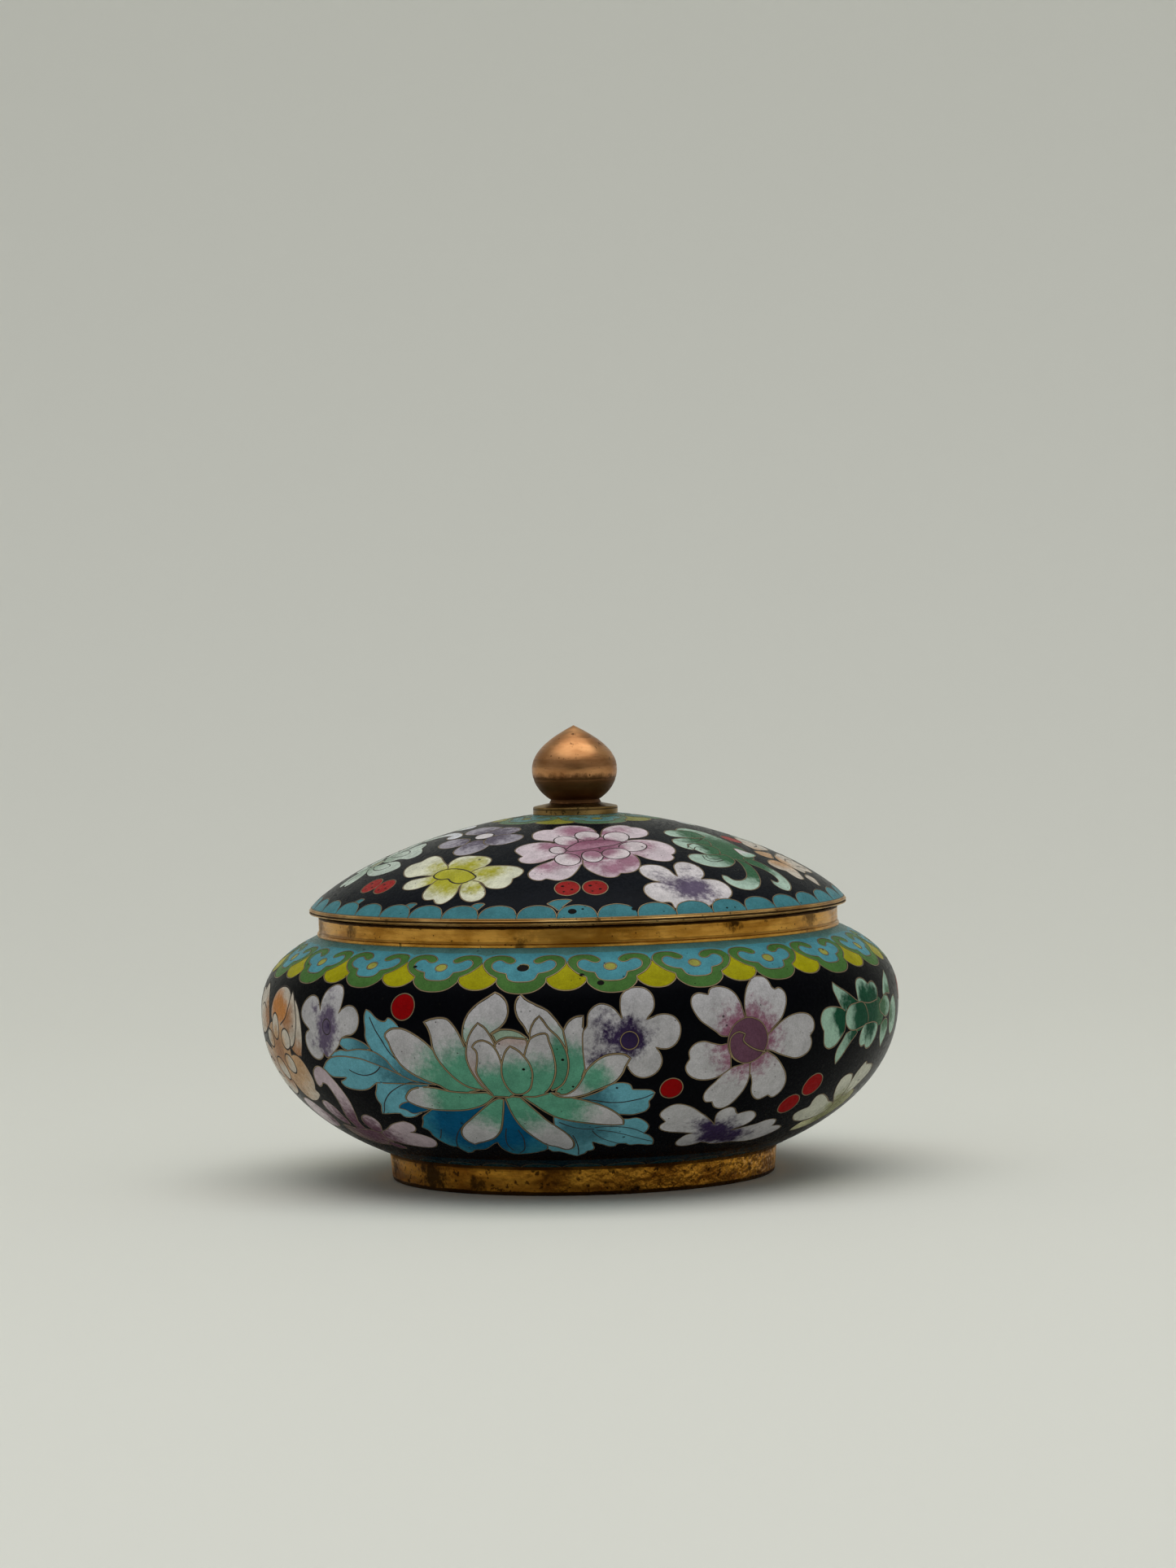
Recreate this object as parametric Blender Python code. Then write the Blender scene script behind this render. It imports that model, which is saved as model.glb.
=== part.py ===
"""Cloisonne lidded bowl.

An enamelled bowl on a brass foot ring, with a brass collar round its mouth, and an enamelled
domed lid with a brass rim, which lifts off by its turned, pointed knob.

Metres, +Z up. The origin is on the axis, in the plane that the foot ring stands on.
Each piece is turned about Z from an outline of (radius, height) points that runs down its
outer side, so every outline is worked out from the sizes below.
"""

import math

import bmesh
import bpy

# Fineness of the turned pieces
WIDE_STEPS = 56
KNOB_STEPS = 36
BELLY_POINTS = 11
SHOULDER_POINTS = 6
LID_POINTS = 10
LINING_POINTS = 8
KNOB_POINTS = 8
SEAT_POINTS = 3
MERGE = 0.00001
SHARP_EDGE = math.radians(35)

# Fits
SEAM = 0.0003  # between two pieces that touch
LID_PLAY = 0.0005  # all round, between the lid's flange and the collar

# Bowl
BELLY_RADIUS = 0.0700
BELLY_HEIGHT = 0.0373  # its widest line, above the ground
BELLY_FULLNESS = 2.12
SHOULDER_FULLNESS = 2.5
MOUTH_HEIGHT = 0.0540
BASE_HEIGHT = 0.0040  # the flat underside within the foot ring, above the ground
BASE_RADIUS = 0.0366
BOWL_WALL = 0.0020
BOWL_FLOOR = 0.0020

# Foot ring
FOOT_RADIUS = 0.0425  # at its top
FOOT_TAPER = 0.0004
FOOT_WALL = 0.0019
FOOT_BEVEL = 0.0004

# Collar
COLLAR_RADIUS = 0.0570
COLLAR_WALL = 0.0016
COLLAR_HEIGHT = 0.0039
COLLAR_BEVEL = 0.0003

# Rim of the lid
RIM_OVERHANG = 0.0020  # beyond the collar
RIM_THICKNESS = 0.0012
RIM_GROOVE = 0.0002
RIM_ROUND = 0.0003
FLANGE_WALL = 0.0014
FLANGE_DEPTH = 0.0048

# Lid
LID_INSET = 0.0004  # from the rim's outer edge to the enamel's edge
LID_RISE = 0.0205
LID_CROWN = 1.8
LID_EDGE = 0.762
LID_WALL = 0.0020

# Turned disc under the knob
DISC_RADIUS = 0.0093
DISC_THICKNESS = 0.0014  # at its outer edge
DISC_SLOPE = 0.0008

# Knob
NECK_RADIUS = 0.00535
NECK_HEIGHT = 0.0004
BULB_RADIUS = 0.00935
BULB_DEPTH = 0.0081
POINT_HEIGHT = 0.0096
POINT_POWER = 2.1

# Places that follow from the sizes
RIM_RADIUS = COLLAR_RADIUS + RIM_OVERHANG
LID_RADIUS = RIM_RADIUS - LID_INSET
COLLAR_FOOT = MOUTH_HEIGHT + SEAM
COLLAR_TOP = COLLAR_FOOT + COLLAR_HEIGHT
MOUTH_RADIUS = COLLAR_RADIUS - COLLAR_WALL
RIM_BOTTOM = COLLAR_TOP + SEAM
RIM_TOP = RIM_BOTTOM + RIM_THICKNESS
LID_FOOT = RIM_TOP + SEAM

BRASS = (0.50, 0.31, 0.10)
DARK_BRASS = (0.20, 0.15, 0.06)
COPPERY_BRASS = (0.42, 0.22, 0.10)
BLACK_ENAMEL = (0.010, 0.010, 0.014)


def arch(radius, rise, crown, edge, at):
    """Height at this radius of a curve that is `rise` high on the axis and 0 at `radius`."""
    return rise * (1 - (at / radius) ** crown) ** edge


def arch_through(radius, crown, edge, at, height):
    """The rise of such a curve that passes through this radius and height."""
    return height / (1 - (at / radius) ** crown) ** edge


def arch_radius(radius, rise, crown, edge, height):
    """The radius at which such a curve has this height."""
    return radius * (1 - (height / rise) ** (1 / edge)) ** (1 / crown)


def spread(radius, inner, outer, count):
    """Radii from inner to outer, closer together where the curve steepens towards `radius`."""
    start = math.asin(inner / radius)
    stop = math.asin(outer / radius)
    turns = [start + (stop - start) * i / (count - 1) for i in range(count)]
    return [radius * math.sin(turn) for turn in turns]


def belly_drop():
    return arch_through(
        BELLY_RADIUS, BELLY_FULLNESS, 1 / BELLY_FULLNESS, BASE_RADIUS, BELLY_HEIGHT - BASE_HEIGHT
    )


def shoulder_rise():
    return arch_through(
        BELLY_RADIUS,
        SHOULDER_FULLNESS,
        1 / SHOULDER_FULLNESS,
        COLLAR_RADIUS,
        MOUTH_HEIGHT - BELLY_HEIGHT,
    )


def belly_below(at, wall=0):
    """Height of the lower curve of the bowl, or of its inside a wall's thickness in."""
    fall = belly_drop() - wall
    return BELLY_HEIGHT - arch(BELLY_RADIUS - wall, fall, BELLY_FULLNESS, 1 / BELLY_FULLNESS, at)


def shoulder_above(at, wall=0):
    rise = shoulder_rise() - wall
    fullness = SHOULDER_FULLNESS
    return BELLY_HEIGHT + arch(BELLY_RADIUS - wall, rise, fullness, 1 / fullness, at)


def underside(at):
    """Height of the bowl's underside, which the foot ring is soldered to."""
    return BASE_HEIGHT if at <= BASE_RADIUS else belly_below(at)


def bowl_outline():
    floor = BASE_HEIGHT + BOWL_FLOOR
    inside = BELLY_RADIUS - BOWL_WALL
    floor_radius = arch_radius(
        inside,
        belly_drop() - BOWL_WALL,
        BELLY_FULLNESS,
        1 / BELLY_FULLNESS,
        BELLY_HEIGHT - floor,
    )
    lower_in = spread(inside, floor_radius, inside, BELLY_POINTS)
    upper_in = spread(inside, MOUTH_RADIUS, inside, SHOULDER_POINTS)
    lower_out = spread(BELLY_RADIUS, BASE_RADIUS, BELLY_RADIUS, BELLY_POINTS)
    upper_out = spread(BELLY_RADIUS, COLLAR_RADIUS, BELLY_RADIUS, SHOULDER_POINTS)
    lining = [(r, belly_below(r, BOWL_WALL)) for r in lower_in[:-1]]
    lining += [(r, shoulder_above(r, BOWL_WALL)) for r in reversed(upper_in)]
    mouth = [(MOUTH_RADIUS, MOUTH_HEIGHT)]
    outside = [(r, shoulder_above(r)) for r in upper_out]
    outside += [(r, belly_below(r)) for r in reversed(lower_out[:-1])]
    return [(0, floor)] + lining + mouth + outside + [(0, BASE_HEIGHT)]


def foot_outline():
    """A ring whose top follows the bowl's underside."""
    bottom = FOOT_RADIUS - FOOT_TAPER
    inner = FOOT_RADIUS - FOOT_WALL
    return [
        (FOOT_RADIUS, underside(FOOT_RADIUS) - SEAM),
        (bottom, FOOT_BEVEL),
        (bottom - FOOT_BEVEL, 0),
        (inner, 0),
        (inner, underside(inner) - SEAM),
    ]


def collar_outline():
    return [
        (COLLAR_RADIUS - COLLAR_BEVEL, COLLAR_TOP),
        (COLLAR_RADIUS, COLLAR_TOP - COLLAR_BEVEL),
        (COLLAR_RADIUS, COLLAR_FOOT),
        (MOUTH_RADIUS, COLLAR_FOOT),
        (MOUTH_RADIUS, COLLAR_TOP),
    ]


def rim_outline():
    """The lid's edging: two ridges with a groove between them, and a flange inside the collar."""
    middle = (RIM_TOP + RIM_BOTTOM) / 2
    ridge = RIM_THICKNESS / 4
    flange_out = MOUTH_RADIUS - LID_PLAY
    flange_in = flange_out - FLANGE_WALL
    flange_bottom = RIM_BOTTOM - FLANGE_DEPTH
    return [
        (RIM_RADIUS - RIM_ROUND, RIM_TOP),
        (RIM_RADIUS, middle + ridge),
        (RIM_RADIUS - RIM_GROOVE, middle),
        (RIM_RADIUS, middle - ridge),
        (RIM_RADIUS - RIM_ROUND, RIM_BOTTOM),
        (flange_out, RIM_BOTTOM),
        (flange_out, flange_bottom),
        (flange_in, flange_bottom),
        (flange_in, RIM_TOP),
    ]


def lid_above(at, wall=0):
    """Height of the lid's outside, or of its inside a wall's thickness in."""
    spring = LID_FOOT - arch(RIM_RADIUS, LID_RISE, LID_CROWN, LID_EDGE, LID_RADIUS)
    return spring + arch(RIM_RADIUS - wall, LID_RISE - wall, LID_CROWN, LID_EDGE, at)


def lid_outline():
    above_spring = arch(RIM_RADIUS, LID_RISE, LID_CROWN, LID_EDGE, LID_RADIUS)
    inside = RIM_RADIUS - LID_WALL
    edge_in = arch_radius(inside, LID_RISE - LID_WALL, LID_CROWN, LID_EDGE, above_spring)
    outside = [(r, lid_above(r)) for r in spread(RIM_RADIUS, 0, LID_RADIUS, LID_POINTS)]
    lining = [(r, lid_above(r, LID_WALL)) for r in spread(inside, 0, edge_in, LINING_POINTS)]
    return outside + lining[::-1]


def disc_top():
    return lid_above(DISC_RADIUS) + SEAM + DISC_THICKNESS + DISC_SLOPE


def disc_outline():
    """A turned disc that fits the lid's crown and slopes up to the knob's neck."""
    top = disc_top()
    seat = [DISC_RADIUS * i / SEAT_POINTS for i in range(SEAT_POINTS, -1, -1)]
    return [(0, top), (NECK_RADIUS, top), (DISC_RADIUS, top - DISC_SLOPE)] + [
        (r, lid_above(r) + SEAM) for r in seat
    ]


def knob_outline():
    """A bulb drawn up to a point, on a short neck."""
    foot = disc_top() + SEAM
    below = BULB_DEPTH * math.sqrt(1 - (NECK_RADIUS / BULB_RADIUS) ** 2)
    centre = foot + NECK_HEIGHT + below
    steps = [i / KNOB_POINTS for i in range(KNOB_POINTS + 1)]
    upper = [
        (BULB_RADIUS * (1 - step**POINT_POWER), centre + POINT_HEIGHT * step)
        for step in reversed(steps)
    ]
    lower = [
        (BULB_RADIUS * math.sqrt(1 - (below * step / BULB_DEPTH) ** 2), centre - below * step)
        for step in steps[1:]
    ]
    return upper + lower + [(NECK_RADIUS, foot), (0, foot)]


def material(name, colour, metallic, roughness):
    made = bpy.data.materials.new(name)
    made.use_nodes = True
    shader = made.node_tree.nodes["Principled BSDF"]
    shader.inputs["Base Color"].default_value = (*colour, 1)
    shader.inputs["Metallic"].default_value = metallic
    shader.inputs["Roughness"].default_value = roughness
    return made


def turned(name, outline, steps, finish, ring=False):
    """A piece turned about Z. A ring's outline closes on itself; any other's ends on the axis."""
    shape = bmesh.new()
    points = [shape.verts.new((radius, 0, height)) for radius, height in outline]
    ends = points[1:] + points[:1] if ring else points[1:]
    runs = [shape.edges.new(pair) for pair in zip(points, ends)]
    bmesh.ops.spin(
        shape,
        geom=points + runs,
        cent=(0, 0, 0),
        axis=(0, 0, 1),
        angle=2 * math.pi,
        steps=steps,
    )
    bmesh.ops.remove_doubles(shape, verts=shape.verts, dist=MERGE)
    bmesh.ops.recalc_face_normals(shape, faces=shape.faces)
    mesh = bpy.data.meshes.new(name)
    shape.to_mesh(mesh)
    shape.free()
    mesh.shade_smooth()
    mesh.set_sharp_from_angle(angle=SHARP_EDGE)
    mesh.materials.append(finish)
    piece = bpy.data.objects.new(name, mesh)
    bpy.context.scene.collection.objects.link(piece)
    return piece


def main():
    for old in list(bpy.data.objects):
        bpy.data.objects.remove(old)
    enamel = material("enamel", BLACK_ENAMEL, 0.0, 0.2)
    brass = material("brass", BRASS, 1.0, 0.35)
    dark_brass = material("dark_brass", DARK_BRASS, 1.0, 0.45)
    coppery_brass = material("coppery_brass", COPPERY_BRASS, 1.0, 0.35)
    turned("bowl", bowl_outline(), WIDE_STEPS, enamel)
    turned("foot_ring", foot_outline(), WIDE_STEPS, brass, ring=True)
    turned("neck_collar", collar_outline(), WIDE_STEPS, brass, ring=True)
    turned("lid", lid_outline(), WIDE_STEPS, enamel)
    turned("lid_rim", rim_outline(), WIDE_STEPS, brass, ring=True)
    turned("knob_collar", disc_outline(), KNOB_STEPS, dark_brass)
    turned("knob", knob_outline(), KNOB_STEPS, coppery_brass)


main()
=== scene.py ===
"""The looks of a cloisonne lidded bowl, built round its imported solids.

Each turned piece is modelled again from a finer outline with the solids' own sizes. The enamel
is drawn as cells: flat outlines in millimetres, laid on the turned surface and cut into it, so
that each cell has its own glass and each outline its own brass wire.
"""

import math

import bpy
import numpy as np
from mathutils import Matrix, Vector
from mathutils.geometry import delaunay_2d_cdt
from mathutils.kdtree import KDTree


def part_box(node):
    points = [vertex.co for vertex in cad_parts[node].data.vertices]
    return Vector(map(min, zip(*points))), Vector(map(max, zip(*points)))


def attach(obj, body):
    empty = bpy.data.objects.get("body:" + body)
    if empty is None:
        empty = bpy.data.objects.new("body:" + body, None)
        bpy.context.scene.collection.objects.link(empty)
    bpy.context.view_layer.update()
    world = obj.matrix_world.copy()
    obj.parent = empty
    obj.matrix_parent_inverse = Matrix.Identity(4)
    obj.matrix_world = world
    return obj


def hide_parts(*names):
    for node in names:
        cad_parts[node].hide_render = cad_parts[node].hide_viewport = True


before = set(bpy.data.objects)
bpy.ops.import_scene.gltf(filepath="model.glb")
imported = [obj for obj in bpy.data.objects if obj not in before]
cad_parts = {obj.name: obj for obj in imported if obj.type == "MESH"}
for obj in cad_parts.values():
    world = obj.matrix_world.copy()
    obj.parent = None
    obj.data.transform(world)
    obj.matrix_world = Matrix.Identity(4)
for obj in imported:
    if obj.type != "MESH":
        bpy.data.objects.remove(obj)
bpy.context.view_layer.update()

MM = 0.001

# Sizes of the solids
BELLY_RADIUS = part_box("bowl")[1].x
BASE_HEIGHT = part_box("bowl")[0].z
MOUTH_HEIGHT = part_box("bowl")[1].z
FOOT_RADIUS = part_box("foot_ring")[1].x
COLLAR_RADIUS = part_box("neck_collar")[1].x
COLLAR_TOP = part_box("neck_collar")[1].z
RIM_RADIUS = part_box("lid_rim")[1].x
RIM_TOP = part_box("lid_rim")[1].z
FLANGE_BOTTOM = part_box("lid_rim")[0].z
LID_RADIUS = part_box("lid")[1].x
LID_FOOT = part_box("lid")[0].z
LID_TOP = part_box("lid")[1].z
DISC_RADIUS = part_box("knob_collar")[1].x
DISC_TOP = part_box("knob_collar")[1].z
KNOB_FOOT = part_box("knob")[0].z
BULB_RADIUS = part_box("knob")[1].x
KNOB_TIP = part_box("knob")[1].z

# Curves of the solids, as they are built
BELLY_HEIGHT = 37.3 * MM
BELLY_FULLNESS = 2.12
SHOULDER_FULLNESS = 2.5
BASE_RADIUS = 36.6 * MM
WALL = 2.0 * MM
COLLAR_WALL = 1.6 * MM
FOOT_TAPER = 0.4 * MM
FOOT_WALL = 1.9 * MM
FLANGE_WALL = 1.4 * MM
LID_PLAY = 0.5 * MM
LID_RISE = 20.5 * MM
LID_CROWN = 1.8
LID_EDGE = 0.762
NECK_RADIUS = 5.35 * MM
NECK_HEIGHT = 0.4 * MM
BULB_DEPTH = 8.1 * MM
POINT_POWER = 2.1
DISC_SLOPE = 0.8 * MM
SEAM = 0.3 * MM

# Fineness
STEPS = 256  # round every turned surface
OUTLINE_STEP = 0.5  # mm between the points of a cell's outline
CURVE_POINTS = 12  # in each stretch of a curve, before it is stepped evenly
GRID_STEP = 1.7  # mm between the points inside the cells
FEWEST_STEPS = 6  # in the smallest ring of points inside the cells
WELD = 0.002  # mm
LEAST_GAP = 1e-6  # mm between two points of a curve
LEAST_LENGTH = 1e-9  # of a direction before it is scaled to 1
NEARBY = 1  # mm round a cell, within which points are tested against it
SKIN_MARGIN = 0.05  # mm that a drawn shape keeps from the skin's edges
EDGE_PLAY = 0.001  # mm that a triangle's middle may lie past the skin's edge
LEAST_AREA = 1e-7  # square mm, for twice a triangle's area
CORNER_STEPS = 4  # round a rounded corner
SOFT_EDGE = math.cos(math.radians(35))  # faces that turn by less than this share a normal

# Places in the OFBake UV map: the middle of a drawing and its scale for each mm, or the middle
# of a lining and its radius
BOWL_SHEET = ((0.5, 0.5), 0.0049)
BOWL_LINING_SHEET = ((0.5, 0.5), 0.155)
BOWL_UNDER_SHEET = ((0.075, 0.075), 0.07)
LID_SHEET = ((0.345, 0.655), 0.0054)
LID_LINING_SHEET = ((0.84, 0.16), 0.15)
METAL_STRIPS = 4  # that a turned metal piece is cut into
STRIP_GAP = 0.04
STRIP_END = 0.01

# Wire
WIRE_HALF = 0.2 * MM
WIRE_CREST = 0.4  # share of the width that is bright on top
WIRE_PROUD = 0.03 * MM
WIRE_DEPTH = 0.02 * MM
WIRE_NEAR = 0.2  # mm, within which a second wire isn't laid beside a first
BRIGHT_WIRE, DARK_WIRE = 0, 1  # a wire piece's two materials

# Counts in the borders, as the photo has them in front, carried round
CLOUD_HEADS = 22
KNOB_CLOUDS = 5
LID_SCALLOPS = 43
FOOT_ARCS = 30
ARC_INSET = 0.06  # mm that arcs and scallops start from the skin's end


def srgb(red, green, blue):
    """A linear colour from the 0 to 255 values of a colour chart."""
    parts = [value / 255 for value in (red, green, blue)]
    return tuple(p / 12.92 if p <= 0.04045 else ((p + 0.055) / 1.055) ** 2.4 for p in parts)


# Glass
BLACK = srgb(6, 7, 11)
# The lid's black, lighter than the belly's black: a painted sheen of the light above
LID_BLACK_WITH_SHEEN = srgb(21, 24, 30)
WHITE = srgb(190, 188, 191)
# A lighter copy of the white for the lid: painted light on its upturned face
LIT_LID_WHITE = srgb(226, 220, 222)
CREAM = srgb(206, 196, 182)
BLUSH = srgb(176, 158, 154)
BLUSH_WHITE = srgb(226, 214, 218)
GREY_LILAC = srgb(168, 163, 174)
PINK = srgb(224, 209, 216)
FADED_PINK = srgb(194, 177, 185)
MAUVE = srgb(146, 92, 116)
ROSE = srgb(170, 124, 144)
PLUM = srgb(104, 70, 88)
PURPLE = srgb(54, 40, 74)
LILAC = srgb(104, 92, 116)
INK = srgb(24, 20, 62)
TAUPE = srgb(132, 112, 106)
GREEN = srgb(92, 156, 130)
DEEP_GREEN = srgb(78, 138, 112)
JADE = srgb(58, 104, 72)
PALE_MINT = srgb(184, 210, 194)
PALE_GREEN = srgb(150, 190, 170)
LEAF = srgb(104, 168, 184)
TEAL = srgb(52, 128, 150)
GREY_TEAL = srgb(66, 116, 130)
BLUE = srgb(6, 86, 126)
TURQUOISE = srgb(80, 150, 164)
SCALLOP = srgb(72, 134, 144)
SHADED_TURQUOISE = srgb(84, 130, 128)
BORDER_GREEN = srgb(76, 118, 58)
YELLOW = srgb(168, 162, 16)
EYE_YELLOW = srgb(158, 158, 74)
KNOB_GREEN = srgb(86, 118, 88)
DULL_YELLOW = srgb(140, 140, 58)
RED = srgb(148, 8, 11)
LID_RED = srgb(160, 43, 41)
ORANGE = srgb(196, 130, 68)
PEACH = srgb(196, 158, 120)
HONEY = srgb(170, 122, 84)
MINT = srgb(160, 194, 174)
EMERALD = srgb(22, 74, 52)
FOREST = srgb(70, 112, 78)
LAVENDER = srgb(100, 92, 108)
SILVER = srgb(228, 230, 236)
OLIVE = srgb(186, 182, 58)
DULL_OLIVE = srgb(138, 140, 88)
STRAW = srgb(216, 214, 170)
LEMON = srgb(230, 230, 206)
IVORY = srgb(206, 206, 190)
CELADON = srgb(196, 210, 198)
SAGE = srgb(150, 172, 152)
LINING = srgb(58, 130, 148)
# Turquoise and teal near the foot, darkened with painted shade under the belly
SHADED_FOOT_TURQUOISE = srgb(10, 44, 56)
SHADED_FOOT_TEAL = srgb(30, 74, 84)
PIT = srgb(22, 20, 18)

# How much of the dapple moves a colour's edge, where no cell says so
BAND_GRAIN = 0.5
LINING_GRAIN = 0.6

# Metal: bright, dull, and dark for its stains and its painted shade
COLLAR_TONES = srgb(220, 164, 74), srgb(170, 116, 38), srgb(48, 28, 10)
RIM_TONES = srgb(212, 174, 112), srgb(164, 122, 66), srgb(36, 22, 10)
FOOT_TONES = srgb(236, 168, 62), srgb(160, 102, 30), srgb(34, 18, 6)
DISC_TONES = srgb(176, 144, 88), srgb(120, 94, 50), srgb(28, 20, 12)
KNOB_TONES = srgb(204, 150, 100), srgb(168, 116, 72), srgb(56, 32, 14)
WIRE_BRASS = srgb(142, 122, 88)
# The dark tone of the wires' slopes, painted shade beside each wire, and of whole dark wires
DARK_WIRE_AND_SHADE = srgb(44, 36, 31)

# The sheet of paper under and behind the bowl, in m
PAPER = srgb(234, 235, 227)
PAPER_FRONT = -6.5
PAPER_HALF_WIDTH = 6
BEND_START = 0.35
BEND_RADIUS = 0.55
BEND_STEPS = 16
PAPER_TOP = 2.4

# The tent of light round the bowl: its walls, its roof and its dark open front
TENT_COLOUR = (1.0, 1.0, 0.985)
WALL_LIGHT = 0.35
ROOF_FRONT = 1.0
ROOF_BACK = 1.8
FRONT_LOW = 0.02
FRONT_HIGH = 0.33

# Lamps: name, place, target, size in m and power in W
LAMPS = (
    ("light_top", (0.12, -0.25, 1.25), (0, 0, 0), (1.5, 1.1), 2.3),
    ("light_back", (0, 0.2, 1.1), (0, 0.95, 0.7), (1.6, 0.3), 0.4),
)

# Camera, in m, degrees and mm
CAMERA_PLACE = (0.0029, -1.0726, 0.1265)
CAMERA_PITCH = 2.18
CAMERA_ROLL = 1.34
SENSOR_WIDTH = 36
FOCAL_LENGTH = 149.48
CAMERA_REACH = 20


def arch(radius, rise, crown, edge, at):
    """How high an arch stands at this distance from its middle."""
    return rise * (1 - (at / radius) ** crown) ** edge


def belly_below(at, wall=0.0):
    """The height of the belly's lower part, or of its inside if the wall is given."""
    whole = (BELLY_HEIGHT - BASE_HEIGHT) / arch(
        BELLY_RADIUS, 1, BELLY_FULLNESS, 1 / BELLY_FULLNESS, BASE_RADIUS
    )
    return BELLY_HEIGHT - arch(
        BELLY_RADIUS - wall, whole - wall, BELLY_FULLNESS, 1 / BELLY_FULLNESS, at
    )


def shoulder_above(at, wall=0.0):
    """The height of the shoulder, or of its inside if the wall is given."""
    whole = (MOUTH_HEIGHT - BELLY_HEIGHT) / arch(
        BELLY_RADIUS, 1, SHOULDER_FULLNESS, 1 / SHOULDER_FULLNESS, COLLAR_RADIUS
    )
    return BELLY_HEIGHT + arch(
        BELLY_RADIUS - wall, whole - wall, SHOULDER_FULLNESS, 1 / SHOULDER_FULLNESS, at
    )


def lid_above(at, wall=0.0):
    """The height of the lid's dome, or of its inside if the wall is given."""
    spring = LID_TOP - LID_RISE
    return spring + arch(RIM_RADIUS - wall, LID_RISE - wall, LID_CROWN, LID_EDGE, at)


def run(height_at, radius, start, stop, count):
    """Points of a curve from one radius to another, closer together where it steepens."""
    turns = np.linspace(math.asin(start / radius), math.asin(stop / radius), count)
    radii = radius * np.sin(turns)
    radii[0], radii[-1] = start, stop
    return [(r, height_at(r)) for r in radii]


def smooth(points, closed=True):
    """An evenly stepped curve through the points. A point with a third value of 0 is sharp."""
    spots = [np.array(p[:2], float) for p in points]
    sharp = [len(p) > 2 for p in points]
    if closed and any(sharp):
        first = sharp.index(True)
        spots = spots[first:] + spots[: first + 1]
        sharp = sharp[first:] + sharp[: first + 1]
    elif closed:
        spots = [spots[-1]] + spots + spots[:2]
    else:
        sharp[0] = sharp[-1] = True
    pieces = []
    if closed and not any(sharp):
        pieces.append(catmull(spots))
    else:
        ends = [i for i, corner in enumerate(sharp) if corner]
        for start, stop in zip(ends, ends[1:]):
            part = spots[start : stop + 1]
            before = part[0] * 2 - part[1]
            after = part[-1] * 2 - part[-2]
            pieces.append(catmull([before] + part + [after]))
    joined = np.concatenate([piece[:-1] for piece in pieces])
    if not closed:
        joined = np.concatenate([joined, [spots[-1]]])
    return joined


def blend(t, start, stop, one, two):
    """One value at the start of a stretch, and another at its end."""
    return (stop - t) / (stop - start) * one + (t - start) / (stop - start) * two


def catmull(spots):
    """The curve through all but the first and last of the spots, evenly stepped."""
    dense = []
    for p0, p1, p2, p3 in zip(spots, spots[1:], spots[2:], spots[3:]):
        knots = [0.0]
        for a, b in ((p0, p1), (p1, p2), (p2, p3)):
            knots.append(knots[-1] + max(np.linalg.norm(b - a), LEAST_GAP) ** 0.5)
        t0, t1, t2, t3 = knots
        t = np.linspace(t1, t2, CURVE_POINTS)[:, None]
        a1 = blend(t, t0, t1, p0, p1)
        a2 = blend(t, t1, t2, p1, p2)
        a3 = blend(t, t2, t3, p2, p3)
        b1 = blend(t, t0, t2, a1, a2)
        b2 = blend(t, t1, t3, a2, a3)
        dense.append(blend(t, t1, t2, b1, b2)[:-1])
    dense.append([spots[-2]])
    dense = np.concatenate(dense)
    length = np.concatenate([[0], np.cumsum(np.linalg.norm(np.diff(dense, axis=0), axis=1))])
    count = max(2, round(length[-1] / OUTLINE_STEP) + 1)
    even = np.linspace(0, length[-1], count)
    return np.stack([np.interp(even, length, dense[:, k]) for k in (0, 1)], 1)


def oval(x, y, half_width, half_height=None, turn=0.0):
    """Eight points round an oval, for a closed cell."""
    half_height = half_height or half_width
    lean = math.radians(turn)
    spots = []
    for i in range(8):
        u = half_width * math.cos(i * math.pi / 4)
        v = half_height * math.sin(i * math.pi / 4)
        across = u * math.cos(lean) - v * math.sin(lean)
        spots.append((x + across, y + u * math.sin(lean) + v * math.cos(lean)))
    return spots


def along(start, stop):
    """A fade from 0 at one place to 1 at another, straight across a cell."""
    (x0, y0), (x1, y1) = start, stop
    reach = (x1 - x0) ** 2 + (y1 - y0) ** 2
    return lambda x, y: ((x - x0) * (x1 - x0) + (y - y0) * (y1 - y0)) / reach


def around(centre, inner, outer):
    """A fade from 0 within one distance of a centre to 1 beyond another."""
    return lambda x, y: (np.hypot(x - centre[0], y - centre[1]) - inner) / (outer - inner)


def smear(*blots):
    """A fade from each blot's own start in its middle to 1 at its reach: x, y, reach, start."""
    return lambda x, y: np.min(
        [start + (1 - start) * np.hypot(x - a, y - b) / reach for a, b, reach, start in blots], 0
    )


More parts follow.
